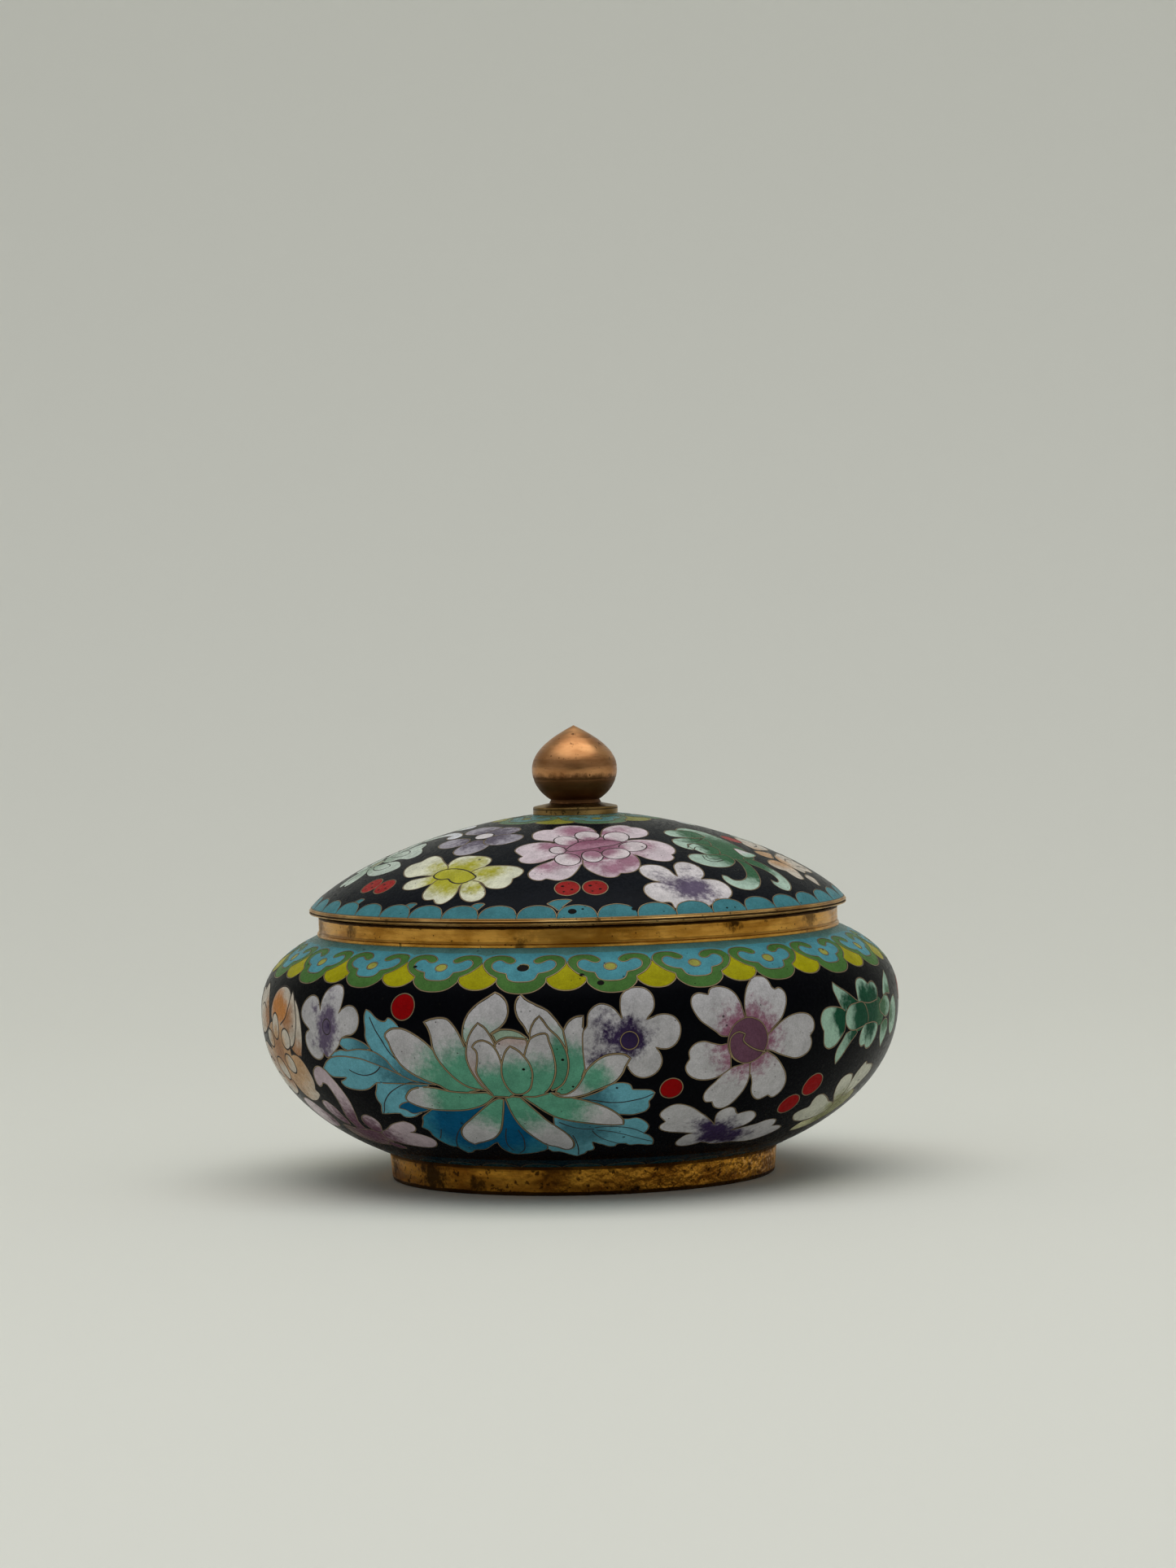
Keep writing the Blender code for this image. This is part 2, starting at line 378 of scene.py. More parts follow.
class Skin:
    """A turned surface that flat drawings are laid on.

    A place on it is an azimuth in radians, 0 at the front, and a distance in mm along its
    outline. On the flat sheet the distance runs along the radius.
    """

    def __init__(self, outline, flat_start, flat_sign):
        self.radius, self.height = np.array(outline).T
        step = np.hypot(np.diff(self.radius), np.diff(self.height)) / MM
        self.along = np.concatenate([[0], np.cumsum(step)])
        self.end = self.along[-1]
        slope = np.stack([np.gradient(line, self.along) for line in (self.radius, self.height)])
        slope /= np.linalg.norm(slope, axis=0)
        self.slope_r, self.slope_z = slope
        # The glass lies below the solid's surface by as much as the wires stand proud of it
        self.radius = np.maximum(self.radius + self.slope_z * WIRE_PROUD, 0)
        self.height = self.height - self.slope_r * WIRE_PROUD
        self.flat_start, self.flat_sign = flat_start, flat_sign

    def radius_at(self, distance):
        return np.interp(distance, self.along, self.radius)

    def to_flat(self, azimuth, distance):
        rho = self.flat_start + self.flat_sign * distance
        return np.stack([rho * np.sin(azimuth), -rho * np.cos(azimuth)], -1)

    def from_flat(self, flat):
        rho = np.hypot(flat[:, 0], flat[:, 1])
        return np.arctan2(flat[:, 0], -flat[:, 1]), (rho - self.flat_start) * self.flat_sign

    def lift(self, azimuth, distance):
        """Points of the surface and its outward normals."""
        radius, height, up, inward = (
            np.interp(distance, self.along, values)
            for values in (self.radius, self.height, self.slope_r, self.slope_z)
        )
        side, front = np.sin(azimuth), -np.cos(azimuth)
        points = np.stack([radius * side, radius * front, height], -1)
        normals = np.stack([-inward * side, -inward * front, up], -1)
        return points, normals / np.linalg.norm(normals, axis=1)[:, None]


def inside(points, loop):
    """Which of the points are inside the closed loop."""
    x, y = points[:, 0:1], points[:, 1:2]
    x1, y1 = loop[:, 0][None], loop[:, 1][None]
    x2, y2 = np.roll(loop[:, 0], -1)[None], np.roll(loop[:, 1], -1)[None]
    crosses = (y1 > y) != (y2 > y)
    rise = np.where(y2 == y1, 1.0, y2 - y1)
    return (crosses & (x < (x2 - x1) * (y - y1) / rise + x1)).sum(1) % 2 == 1


def near(points, loop, reach):
    """Which of the points are within reach of the closed loop's line."""
    start, stop = loop, np.roll(loop, -1, 0)
    edge = stop - start
    size = (edge**2).sum(1)
    size[size == 0] = 1
    offset = points[:, None] - start[None]
    share = np.clip((offset * edge[None]).sum(2) / size[None], 0, 1)
    gap = offset - share[..., None] * edge[None]
    return ((gap**2).sum(2) < reach**2).any(1)


class Drawing:
    """Cells and wires on a skin. A later cell covers an earlier one."""

    def __init__(self, skin, bands):
        self.skin = skin
        self.bands = bands  # (distance where it starts, colour), from the skin's start
        self.cells = []
        self.wires = []
        self.place(0, 0)

    def place(self, azimuth, distance, grow=1.0, fan=None):
        """Where the next shapes go: their origin in degrees and mm, and their size.

        With a fan radius, in mm, shapes widen with the skin instead of keeping their width.
        """
        self.spot = (math.radians(azimuth), distance, grow, fan)
        self.pen = (False, 1.0)  # if the cells' wires are dark, and their width

    def locate(self, points):
        """Azimuths and distances of points drawn from the place's origin."""
        azimuth, distance, grow, fan = self.spot
        down = np.clip(distance - grow * points[:, 1], SKIN_MARGIN, self.skin.end - SKIN_MARGIN)
        width = fan or self.skin.radius_at(down) / MM
        return azimuth + grow * points[:, 0] / width, down

    def local(self, spot, azimuth, distance):
        """The reverse: points as they were drawn, from their azimuths and distances."""
        start, origin, grow, fan = spot
        width = fan or self.skin.radius_at(distance) / MM
        x = ((azimuth - start + math.pi) % (2 * math.pi) - math.pi) * width / grow
        return x, (origin - distance) / grow

    def cell(self, points, core, rim=None, fade=None, grain=0.7, wire=True):
        """A patch of glass with a wire round it.

        The fade says where its core colour gives way to its rim colour, and the grain how far
        the dapple moves that edge.
        """
        flat = self.skin.to_flat(*self.locate(smooth(points)))
        self.cells.append((flat, core, rim or core, fade, grain, self.spot))
        if wire:
            self.wires.append((len(self.cells), flat, True, *self.pen))

    def line(self, points, dark=True, wide=0.75):
        """A wire that closes no cell."""
        flat = self.skin.to_flat(*self.locate(smooth(points, closed=False)))
        self.wires.append((len(self.cells), flat, False, dark, wide))

    def hidden(self, flat, order, reach=0.0):
        """Which points of an outline a later cell covers."""
        found = np.zeros(len(flat), bool)
        low, high = flat.min(0) - NEARBY, flat.max(0) + NEARBY
        for loop, *_ in self.cells[order:]:
            if (loop.max(0) < low).any() or (loop.min(0) > high).any():
                continue
            left = np.flatnonzero(~found)
            least, most = loop.min(0) - NEARBY, loop.max(0) + NEARBY
            close = left[((flat[left] > least) & (flat[left] < most)).all(1)]
            if len(close):
                found[close] = inside(flat[close], loop)
                if reach:
                    found[close] |= near(flat[close], loop, reach)
        return found

    def triangles(self):
        """Flat points, triangles, each triangle's cell or -1, and the points of the edge rings."""
        ring = np.arange(STEPS) * 2 * math.pi / STEPS
        points, edges = [], []

        def add(flat, keep=None):
            start = sum(len(p) for p in points)
            points.append(flat)
            for i in range(len(flat)):
                j = (i + 1) % len(flat)
                if keep is None or keep[i] or keep[j]:
                    edges.append((start + i, start + j))

        edges_at = {"end": self.skin.end}
        if self.skin.radius[0] > 0:
            edges_at["start"] = 0
        for distance in (*edges_at.values(), *(start for start, _ in self.bands[1:])):
            add(self.skin.to_flat(ring, np.full(STEPS, distance)))
        for order, (flat, *_) in enumerate(self.cells):
            add(flat, ~self.hidden(flat, order + 1))
        lines = np.concatenate(points)
        tree = KDTree(len(lines))
        for i, (x, y) in enumerate(lines):
            tree.insert((x, y, 0), i)
        tree.balance()
        filling = []
        rows = int(self.skin.end / GRID_STEP)
        for row in range(1, rows):
            distance = self.skin.end * row / rows
            radius = self.skin.radius_at(distance) / MM
            count = max(FEWEST_STEPS, round(2 * math.pi * radius / GRID_STEP))
            turns = (np.arange(count) + row % 2 / 2) * 2 * math.pi / count
            for x, y in self.skin.to_flat(turns, np.full(count, distance)):
                if tree.find((x, y, 0))[2] > GRID_STEP / 3:
                    filling.append((x, y))
        points.append(np.array(filling))
        flat = np.concatenate(points)
        verts, _, faces, sources, *_ = delaunay_2d_cdt(
            [Vector(p) for p in flat], edges, [], 0, WELD, True
        )
        number_of = {source: i for i, found in enumerate(sources) for source in found}
        rings = {
            name: [number_of[STEPS * number + k] for k in range(STEPS)]
            for number, name in enumerate(edges_at)
        }
        verts = np.array([tuple(v) for v in verts])
        faces = np.array([f for f in faces if len(f) == 3])
        centre = verts[faces].mean(1)
        _, distance = self.skin.from_flat(centre)
        faces = faces[(distance > -EDGE_PLAY) & (distance < self.skin.end + EDGE_PLAY)]
        one = verts[faces[:, 1]] - verts[faces[:, 0]]
        two = verts[faces[:, 2]] - verts[faces[:, 0]]
        area = one[:, 0] * two[:, 1] - one[:, 1] * two[:, 0]
        kept = np.abs(area) > LEAST_AREA
        faces, area = faces[kept], area[kept]
        turned_over = area * self.skin.flat_sign < 0
        faces[turned_over] = faces[turned_over][:, ::-1]
        centre = verts[faces].mean(1)
        owner = np.full(len(faces), -1)
        for number, (loop, *_) in enumerate(self.cells):
            low, high = loop.min(0), loop.max(0)
            close = np.flatnonzero(((centre > low) & (centre < high)).all(1))
            owner[close[inside(centre[close], loop)]] = number
        return verts, faces, owner, rings

    def colours(self, verts, faces, owner):
        """Core and rim colours and the fade between them, at each corner of each triangle."""
        azimuth, distance = self.skin.from_flat(verts[faces].reshape(-1, 2))
        corners = np.repeat(owner, 3)
        core = np.zeros((len(corners), 4), np.float32)
        rim = np.zeros((len(corners), 4), np.float32)
        fade = np.zeros(len(corners), np.float32)
        centre = self.skin.from_flat(verts[faces].mean(1))[1].repeat(3)
        for start, colour in self.bands:
            chosen = (corners < 0) & (centre >= start)
            core[chosen] = rim[chosen] = (*colour, BAND_GRAIN)
        for number, (_, inner, outer, shift, grain, spot) in enumerate(self.cells):
            chosen = corners == number
            core[chosen] = (*inner, grain)
            rim[chosen] = (*outer, 1)
            if shift:
                x, y = self.local(spot, azimuth[chosen], distance[chosen])
                fade[chosen] = np.clip(shift(x, y), 0, 1)
        return core, rim, fade

    def wire_runs(self):
        """The lengths of wire that show: flat points, and if the run closes, is dark, how wide."""
        runs = []
        for order, flat, closed, *look in self.wires:
            shown = ~self.hidden(flat, order, WIRE_NEAR)
            if shown.all():
                runs.append((flat, closed, *look))
                continue
            if closed and shown.any():
                first = int(np.flatnonzero(~shown)[0])
                flat, shown = np.roll(flat, -first, 0), np.roll(shown, -first)
            start = None
            for i, here in enumerate([*shown, False]):
                if here and start is None:
                    start = i
                elif not here and start is not None:
                    if i - start > 1:
                        runs.append((flat[max(0, start - 1) : i + 1], False, *look))
                    start = None
        return runs


def wire_mesh(name, drawing):
    """Brass wires as closed bars: a bright crest just proud of the glass, and dark slopes of
    painted shade.
    """
    across = (
        (-1, -WIRE_DEPTH), (-WIRE_CREST, WIRE_PROUD), (WIRE_CREST, WIRE_PROUD), (1, -WIRE_DEPTH),
    )
    sides = len(across)
    crest = 1  # the side between the second and the third of these
    verts, faces, slots = [], [], []
    total = 0
    for flat, closed, dark, wide in drawing.wire_runs():
        half = WIRE_HALF * wide
        points, normals = drawing.skin.lift(*drawing.skin.from_flat(flat))
        count = len(points)
        if closed:
            ahead, behind = np.roll(points, -1, 0), np.roll(points, 1, 0)
        else:
            ahead = np.concatenate([points[1:], points[-1:]])
            behind = np.concatenate([points[:1], points[:-1]])
        side = np.cross(ahead - behind, normals)
        side /= np.maximum(np.linalg.norm(side, axis=1), LEAST_LENGTH)[:, None]
        for share, lift in across:
            verts.append(points + side * half * share + normals * lift)
        for i in range(count if closed else count - 1):
            j = (i + 1) % count
            for k in range(sides):
                here, beside = total + k * count, total + (k + 1) % sides * count
                faces.append((here + i, here + j, beside + j, beside + i))
                # Slopes, and whole dark wires, take the dark material: painted shade beside the
                # wire
                slots.append(BRIGHT_WIRE if k == crest and not dark else DARK_WIRE)
        if not closed:
            first = [total + k * count for k in range(sides)]
            faces.append(tuple(first))
            faces.append(tuple(number + count - 1 for number in reversed(first)))
            slots += [DARK_WIRE, DARK_WIRE]
        total += count * sides
    mesh = bpy.data.meshes.new(name)
    mesh.from_pydata(np.concatenate(verts).tolist(), [], faces)
    mesh.shade_smooth()
    mesh.polygons.foreach_set("material_index", slots)
    mesh.validate()
    return mesh


def turned_faces(outline, closed, first, known):
    """Rings of points about Z, and the faces between them.

    The outside is to the left of the outline's run. Known rings are given as the numbers of
    points that exist already.
    """
    spots = [np.array(p) for p in outline]
    turns = np.arange(STEPS) * 2 * math.pi / STEPS
    side, front = np.sin(turns), -np.cos(turns)
    verts, rings = [], []
    for number, (radius, height) in enumerate(spots):
        if number in known:
            rings.append(list(known[number]))
            continue
        count = STEPS if radius > 0 else 1
        rings.append(list(range(first + len(verts), first + len(verts) + count)))
        verts += [(radius * side[k], radius * front[k], height) for k in range(count)]
    last = len(spots) if closed else len(spots) - 1
    runs = [(i, (i + 1) % len(spots)) for i in range(last)]
    slopes = [spots[j] - spots[i] for i, j in runs]
    sizes = [np.linalg.norm(slope) for slope in slopes]
    slopes = [slope / size for slope, size in zip(slopes, sizes)]
    lengths = np.concatenate([[0], np.cumsum(sizes)])
    faces, normals, places = [], [], []
    for number, (i, j) in enumerate(runs):
        ends = []
        for other in (number - 1, number + 1):
            inward = other % len(runs) if closed else other
            slope = slopes[number]
            if 0 <= inward < len(runs) and slope @ slopes[inward] > SOFT_EDGE:
                slope = slope + slopes[inward]
            ends.append(np.array([-slope[1], slope[0]]) / np.linalg.norm(slope))
        for k in range(STEPS):
            m = (k + 1) % STEPS
            corners = [(i, k, k, 0), (j, k, k, 1), (j, m, k + 1, 1), (i, m, k + 1, 0)]
            if spots[i][0] == 0:
                corners = [(i, 0, k + 0.5, 0), corners[1], corners[2]]
            elif spots[j][0] == 0:
                corners = [corners[0], (j, 0, k + 0.5, 1), corners[3]]
            faces.append(tuple(rings[ring][step] for ring, step, _, _ in corners))
            for ring, step, at, end in corners:
                turn = 2 * math.pi * at / STEPS
                out, up = ends[end]
                normals.append((out * math.sin(turn), -out * math.cos(turn), up))
                places.append((at / STEPS, lengths[number + end] / lengths[-1]))
    return verts, faces, normals, np.array(places)


def put(name, data):
    """A new thing in the scene."""
    thing = bpy.data.objects.new(name, data)
    bpy.context.scene.collection.objects.link(thing)
    return thing


def made(name, verts, faces, normals, uv, material, node):
    """A piece that replaces a solid."""
    mesh = bpy.data.meshes.new(name)
    mesh.from_pydata([tuple(v) for v in verts], [], [tuple(f) for f in faces])
    mesh.shade_smooth()
    layer = mesh.uv_layers.new(name="OFBake")
    layer.data.foreach_set("uv", np.asarray(uv, np.float32).ravel())
    mesh.normals_split_custom_set([tuple(n) for n in normals])
    mesh.materials.append(material)
    piece = put(name, mesh)
    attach(piece, "root")
    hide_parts(node)
    return piece


def turned(node, outline, material, closed=False):
    """A metal piece turned from an outline."""
    verts, faces, normals, places = turned_faces(outline, closed, 0, {})
    rows = len(faces) // STEPS
    strip = np.tile(np.arange(STEPS) * METAL_STRIPS // STEPS, rows)
    column = np.repeat(strip, [len(f) for f in faces])
    across = STRIP_END + (1 - 2 * STRIP_END) * (places[:, 0] * METAL_STRIPS - column)
    up = (column + STRIP_GAP + (1 - 2 * STRIP_GAP) * places[:, 1]) / METAL_STRIPS
    uv = np.stack([across, up], 1)
    return made(node + "_metal", verts, faces, normals, uv, material, node)


def enamelled(node, drawing, sheet, rests, material):
    """A glazed piece: its drawn outside, and the plain surfaces that close it.

    The sheet is the place and size of the drawing in the OFBake UV map; each rest has an outline,
    which of its ends joins the drawing and at what distance, a colour, and its own sheet.
    """
    skin = drawing.skin
    flat, faces, owner, ring_numbers = drawing.triangles()
    core, rim, fade = drawing.colours(flat, faces, owner)
    azimuth, distance = skin.from_flat(flat)
    points, lifted = skin.lift(azimuth, distance)
    verts = [tuple(p) for p in points]
    normals = [tuple(n) for n in lifted[faces.ravel()]]
    middle, size = sheet
    uv = [np.array(middle) + flat[faces.ravel()] * size]
    faces = [tuple(int(i) for i in f) for f in faces]
    cores, rims, fades = [core], [rim], [fade]
    for outline, joined, at, colour, (middle, size) in rests:
        index = 0 if joined == "first" else len(outline) - 1
        more = turned_faces(outline, False, len(verts), {index: ring_numbers[at]})
        verts += more[0]
        faces += more[1]
        normals += more[2]
        turns = more[3][:, 0] * 2 * math.pi
        reach = more[3][:, 1] if outline[0][0] == 0 else 1 - more[3][:, 1]
        side, front = size * reach * np.sin(turns), -size * reach * np.cos(turns)
        uv.append(np.stack([middle[0] + side, middle[1] + front], 1))
        tone = np.tile(np.array([*colour, LINING_GRAIN], np.float32), (len(more[2]), 1))
        cores.append(tone)
        rims.append(tone)
        fades.append(np.zeros(len(more[2]), np.float32))
    uv = np.concatenate(uv)
    piece = made(node + "_enamel", verts, faces, normals, uv, material, node)
    for name, parts in (("core", cores), ("rim", rims)):
        layer = piece.data.attributes.new(name, "FLOAT_COLOR", "CORNER")
        layer.data.foreach_set("color", np.concatenate(parts).ravel())
    layer = piece.data.attributes.new("fade", "FLOAT", "CORNER")
    layer.data.foreach_set("value", np.concatenate(fades))
    return piece


class Graph:
    """The nodes of a material or of the world, and the shader that they feed."""

    def __init__(self, owner, shader, **settings):
        owner.use_nodes = True
        self.tree = owner.node_tree
        self.shader = self.tree.nodes[shader]
        for socket, value in settings.items():
            self.feed(self.shader, socket.replace("_", " "), value)

    def feed(self, node, socket, value):
        """Links a socket to the value, or sets it on the socket."""
        if isinstance(value, bpy.types.NodeSocket):
            self.tree.links.new(value, node.inputs[socket])
        else:
            node.inputs[socket].default_value = value

    def add(self, kind, inputs=(), **settings):
        """A new node with these settings, fed with these inputs."""
        node = self.tree.nodes.new(kind)
        for name, value in settings.items():
            setattr(node, name, value)
        for socket, value in dict(inputs).items():
            self.feed(node, socket, value)
        return node

    def math(self, operation, first, second=0.0, third=0.0):
        settings = {0: first, 1: second, 2: third}
        return self.add("ShaderNodeMath", settings, operation=operation).outputs[0]

    def place(self, scale=(1, 1, 1)):
        """Where a point is on the object, in mm, stretched by the scale."""
        spot = self.add("ShaderNodeTexCoord").outputs["Object"]
        scale = tuple(value / MM for value in scale)
        return self.add("ShaderNodeMapping", {"Vector": spot, "Scale": scale}).outputs[0]

    def axis(self, name):
        """The X, Y or Z of a point on the object, in mm."""
        return self.add("ShaderNodeSeparateXYZ", {0: self.place()}).outputs[name]

    def noise(self, size, detail=2.0, vector=None, roughness=0.55):
        """Noise from 0 to 1 with blotches of about this size in mm."""
        settings = {
            "Vector": vector or self.place(),
            "Scale": 1 / size,
            "Detail": detail,
            "Roughness": roughness,
        }
        return self.add("ShaderNodeTexNoise", settings).outputs["Fac"]

    def ramp(self, value, low, high, start=0.0, stop=1.0):
        """A smooth step from start, where the value is low, to stop, where it is high."""
        settings = {
            "Value": value,
            "From Min": low,
            "From Max": high,
            "To Min": start,
            "To Max": stop,
        }
        kind = "SMOOTHSTEP"
        return self.add("ShaderNodeMapRange", settings, interpolation_type=kind).outputs[0]

    def mix(self, factor, first, second, blend="MIX"):
        """Two colours mixed: each is a socket or a linear colour."""
        node = self.add("ShaderNodeMix", data_type="RGBA", blend_type=blend)
        for socket, value in ((0, factor), (6, first), (7, second)):
            if isinstance(value, tuple):
                value = (*value, 1)
            self.feed(node, socket, value)
        return node.outputs[2]

    def pits(self, spacing, radius, share):
        """1 in a few small round pits, 0 elsewhere."""
        cells = self.add("ShaderNodeTexVoronoi", {"Vector": self.place(), "Scale": 1 / spacing})
        pit = self.ramp(cells.outputs["Distance"], radius / spacing, radius * 0.5 / spacing)
        chance = self.add("ShaderNodeSeparateColor", {"Color": cells.outputs["Color"]}).outputs[0]
        return self.math("MULTIPLY", pit, self.math("LESS_THAN", chance, share))

    def bump(self, height, depth, strength=1.0, normal=None):
        """A normal raised by a height from 0 to 1 of this depth in mm."""
        settings = {"Height": height, "Distance": depth * MM, "Strength": strength}
        if normal:
            settings["Normal"] = normal
        return self.add("ShaderNodeBump", settings).outputs[0]


class Paint(Graph):
    """A new material's nodes."""

    def __init__(self, name, **settings):
        self.material = bpy.data.materials.new(name)
        super().__init__(self.material, "Principled BSDF", **settings)


def enamel_material():
    """Glass with a core colour that fades, in dapples, to a rim colour, and with small pits."""
    graph = Paint("enamel_glass", Specular_IOR_Level=0.02)
    core = graph.add("ShaderNodeAttribute", attribute_name="core")
    rim = graph.add("ShaderNodeAttribute", attribute_name="rim")
    fade = graph.add("ShaderNodeAttribute", attribute_name="fade").outputs["Fac"]
    grain = graph.noise(0.3, detail=3.0)
    dapple = graph.noise(1.3, detail=5.0, roughness=0.68)
    stray = graph.math("SUBTRACT", dapple, 0.5)
    moved = graph.math("MULTIPLY_ADD", stray, core.outputs["Alpha"], fade)
    share = graph.ramp(moved, 0.15, 0.85)
    colour = graph.mix(share, core.outputs["Color"], rim.outputs["Color"])
    fine, coarse = graph.math("MULTIPLY", grain, 0.6), graph.math("MULTIPLY", dapple, 0.4)
    tone = graph.math("ADD", fine, coarse)
    light = graph.ramp(tone, 0.3, 0.7, 0.78, 1.14)
    cloud = graph.ramp(graph.noise(4.5, detail=3.0), 0.3, 0.7, 0.86, 1.08)
    colour = graph.mix(1.0, colour, graph.math("MULTIPLY", light, cloud), "MULTIPLY")
    specks = graph.pits(spacing=1.5, radius=0.2, share=0.26)
    pits = graph.math("MAXIMUM", graph.pits(spacing=4.2, radius=0.42, share=0.45), specks)
    colour = graph.mix(graph.math("MULTIPLY", pits, 0.85), colour, PIT)
    graph.feed(graph.shader, "Base Color", colour)
    rough = graph.ramp(graph.noise(0.9, detail=3.0), 0.3, 0.7, 0.2, 0.34)
    graph.feed(graph.shader, "Roughness", graph.math("MULTIPLY_ADD", pits, 0.3, rough))
    ripple = graph.bump(graph.noise(3.0), depth=0.03, strength=0.5)
    height = graph.math("SUBTRACT", grain, pits)
    normal = graph.bump(height, depth=0.02, strength=0.4, normal=ripple)
    graph.feed(graph.shader, "Normal", normal)
    return graph.material


def wire_materials():
    """The wires' rubbed tops, and the dark tone beside them: painted shade, also used for whole
    dark wires.
    """
    bright = Paint("wire_brass", Base_Color=(*WIRE_BRASS, 1), Metallic=0.6)
    dark = Paint("wire_dark_and_shade", Base_Color=(*DARK_WIRE_AND_SHADE, 1), Specular_IOR_Level=0.2)
    for graph, least, most in ((bright, 0.34, 0.5), (dark, 0.5, 0.7)):
        rough = graph.ramp(graph.noise(0.6), 0.3, 0.7, least, most)
        graph.feed(graph.shader, "Roughness", rough)
    return bright.material, dark.material


def metal_material(name, tones, stained, roughness, streak, spots=(), bands=(), cast=0.0):
    """Turned metal: fine streaks round it, dull patches, brown stains, painted shade and a few
    pits.

    Stained is the share of it that the small stains cover, and streak says how much the streaks
    show. Each spot is a place, a reach and a share of a larger dark patch: a stain, or, where a
    piece says so, painted shade or reflection. Each band is a height, a half width and a share of
    a dark ring that runs all round, of painted shade, and on the knob of patina with painted
    reflection. Cast is the depth of bumps. All are in mm.
    """
    bright, dull, stain_and_shade = tones
    graph = Paint(name, Metallic=1.0)
    streaks = graph.noise(0.55, detail=4.0, vector=graph.place((0.06, 0.06, 1)))
    patches = graph.noise(4.0, detail=4.0, vector=graph.place((0.4, 0.4, 1)))
    rust = graph.noise(2.0, detail=5.0, roughness=0.68)
    colour = graph.mix(graph.ramp(patches, 0.35, 0.65), bright, dull)
    lines = graph.ramp(streaks, 0.3, 0.7, 1 - streak, 1 + streak * 0.8)
    colour = graph.mix(1.0, colour, lines, "MULTIPLY")
    blots = graph.math("MULTIPLY", graph.ramp(rust, 1 - stained, 1.08 - stained), 0.8)
    pits = graph.pits(spacing=1.7, radius=0.22, share=0.28)
    marks_and_shade = graph.math("MAXIMUM", blots, graph.math("MULTIPLY", pits, 0.85))
    # Larger patches: stains, and where a piece says so, painted shade or reflection
    for place, reach, share in spots:
        gap = graph.add("ShaderNodeVectorMath", {0: graph.place(), 1: place}, operation="DISTANCE")
        ragged = graph.math("MULTIPLY_ADD", rust, reach * 3, gap.outputs["Value"])
        spot = graph.ramp(ragged, reach * 2.6, reach * 1.8, 0, share)
        marks_and_shade = graph.math("MAXIMUM", marks_and_shade, spot)
    # Rings all round: painted shade in gaps and grooves, and on the knob patina with painted
    # reflection
    for middle, half, share in bands:
        above = graph.math("SUBTRACT", graph.axis("Z"), middle + half / 2)
        ragged = graph.math("ABSOLUTE", graph.math("MULTIPLY_ADD", rust, half, above))
        band = graph.ramp(ragged, half * 1.2, half * 0.75, 0, share)
        marks_and_shade = graph.math("MAXIMUM", marks_and_shade, band)
    graph.feed(graph.shader, "Base Color", graph.mix(marks_and_shade, colour, stain_and_shade))
    rough = graph.ramp(streaks, 0.3, 0.7, *roughness)
    graph.feed(graph.shader, "Roughness", graph.math("MULTIPLY_ADD", marks_and_shade, 0.3, rough))
    height = graph.math("SUBTRACT", graph.math("MULTIPLY", streaks, streak * 2.5), pits)
    lumps = None
    if cast:
        growing = graph.ramp(graph.axis("X"), -20, 15, 0.2, 1)
        lumps = graph.bump(graph.math("MULTIPLY", graph.noise(1.5), growing), cast)
    normal = graph.bump(height, depth=0.02, strength=0.5, normal=lumps)
    graph.feed(graph.shader, "Normal", normal)
    return graph.material


def paper_material():
    """Pale paper that shows its front only, so that it never hides the bowl."""
    graph = Paint("stage_paper", Base_Color=(*PAPER, 1), Roughness=0.9)
    clear = graph.add("ShaderNodeBsdfTransparent").outputs[0]
    behind = graph.add("ShaderNodeNewGeometry").outputs["Backfacing"]
    sides = {0: behind, 1: graph.shader.outputs[0], 2: clear}
    paper = graph.add("ShaderNodeMixShader", sides).outputs[0]
    graph.feed(graph.tree.nodes["Material Output"], "Surface", paper)
    return graph.material


def flip(points):
    """The points on the other side of the middle line."""
    return [(-p[0], *p[1:]) for p in points]


def mirrored(half):
    """A closed outline from its right half, which runs from the middle line round to it again."""
    return half + flip([p for p in half if p[0] != 0])[::-1]


def clouds(draw, count, first, distance, grow, fan, tones, squash=0.0):
    """A border of ruyi clouds, with a scallop showing between the feet of each two.

    Squash is the share by which they are shorter at the sides than in front and behind. It is
    whole from about 40 degrees on.
    """
    ground, band, spark, eye = tones
    pitch = 360 / count

    def lowered(points, azimuth):
        low = 1 - squash * min(1, 2.4 * math.sin(math.radians(azimuth)) ** 2)
        return [(p[0], p[1] * low, *p[2:]) for p in points]

    scallop = mirrored([(0, -6.4, 0), (4.5, -10.6, 0), (3.8, -12.2), (2.1, -13.5), (0, -13.9)])
    head = mirrored([
        (0, -2.6), (5, -2.6), (8.9, -4), (9, -6), (7.5, -8), (5, -10), (3, -12.5), (0, -13.4),
    ])
    outer = [
        (1.9, -5.3, 0), (2.4, -4.5), (3.5, -3.7), (5.5, -3.4), (7.3, -3.9), (8.5, -5.3),
        (8.7, -6.7), (8.1, -8.1), (7, -9.5), (5.2, -10.7, 0), (5.2, -11.9), (4.4, -13.1),
        (2.7, -14.2),
    ]
    inner = [
        (1.6, -11.6), (2.8, -11), (3.4, -9.4, 0), (5.2, -8.9), (6.5, -7.9), (6.8, -6.5),
        (6.1, -5.4), (5.2, -5.1), (4.5, -5.4), (3.8, -6.0), (2.7, -6.3), (2.1, -5.9),
    ]
    curl = outer + [(0, -14.6)] + flip(outer)[::-1] + flip(inner)[::-1] + [(0, -11.7)] + inner
    for k in range(count):
        azimuth = first + pitch * (k + 0.5)
        draw.place(azimuth, distance, grow, fan)
        draw.cell(lowered(scallop, azimuth), spark)
    for k in range(count):
        azimuth = first + pitch * k
        draw.place(azimuth, distance, grow, fan)
        draw.cell(lowered(head, azimuth), ground, wire=False)
        draw.cell(lowered(curl, azimuth), band)
        draw.cell(oval(0, -7.6, 1.35, 1.15), eye)


def dots(draw, turn, colour, *places):
    """Round dots: azimuth, distance and width."""
    for azimuth, distance, width in places:
        draw.place(turn + azimuth, distance)
        draw.cell(oval(0, 0, width / 2), colour)


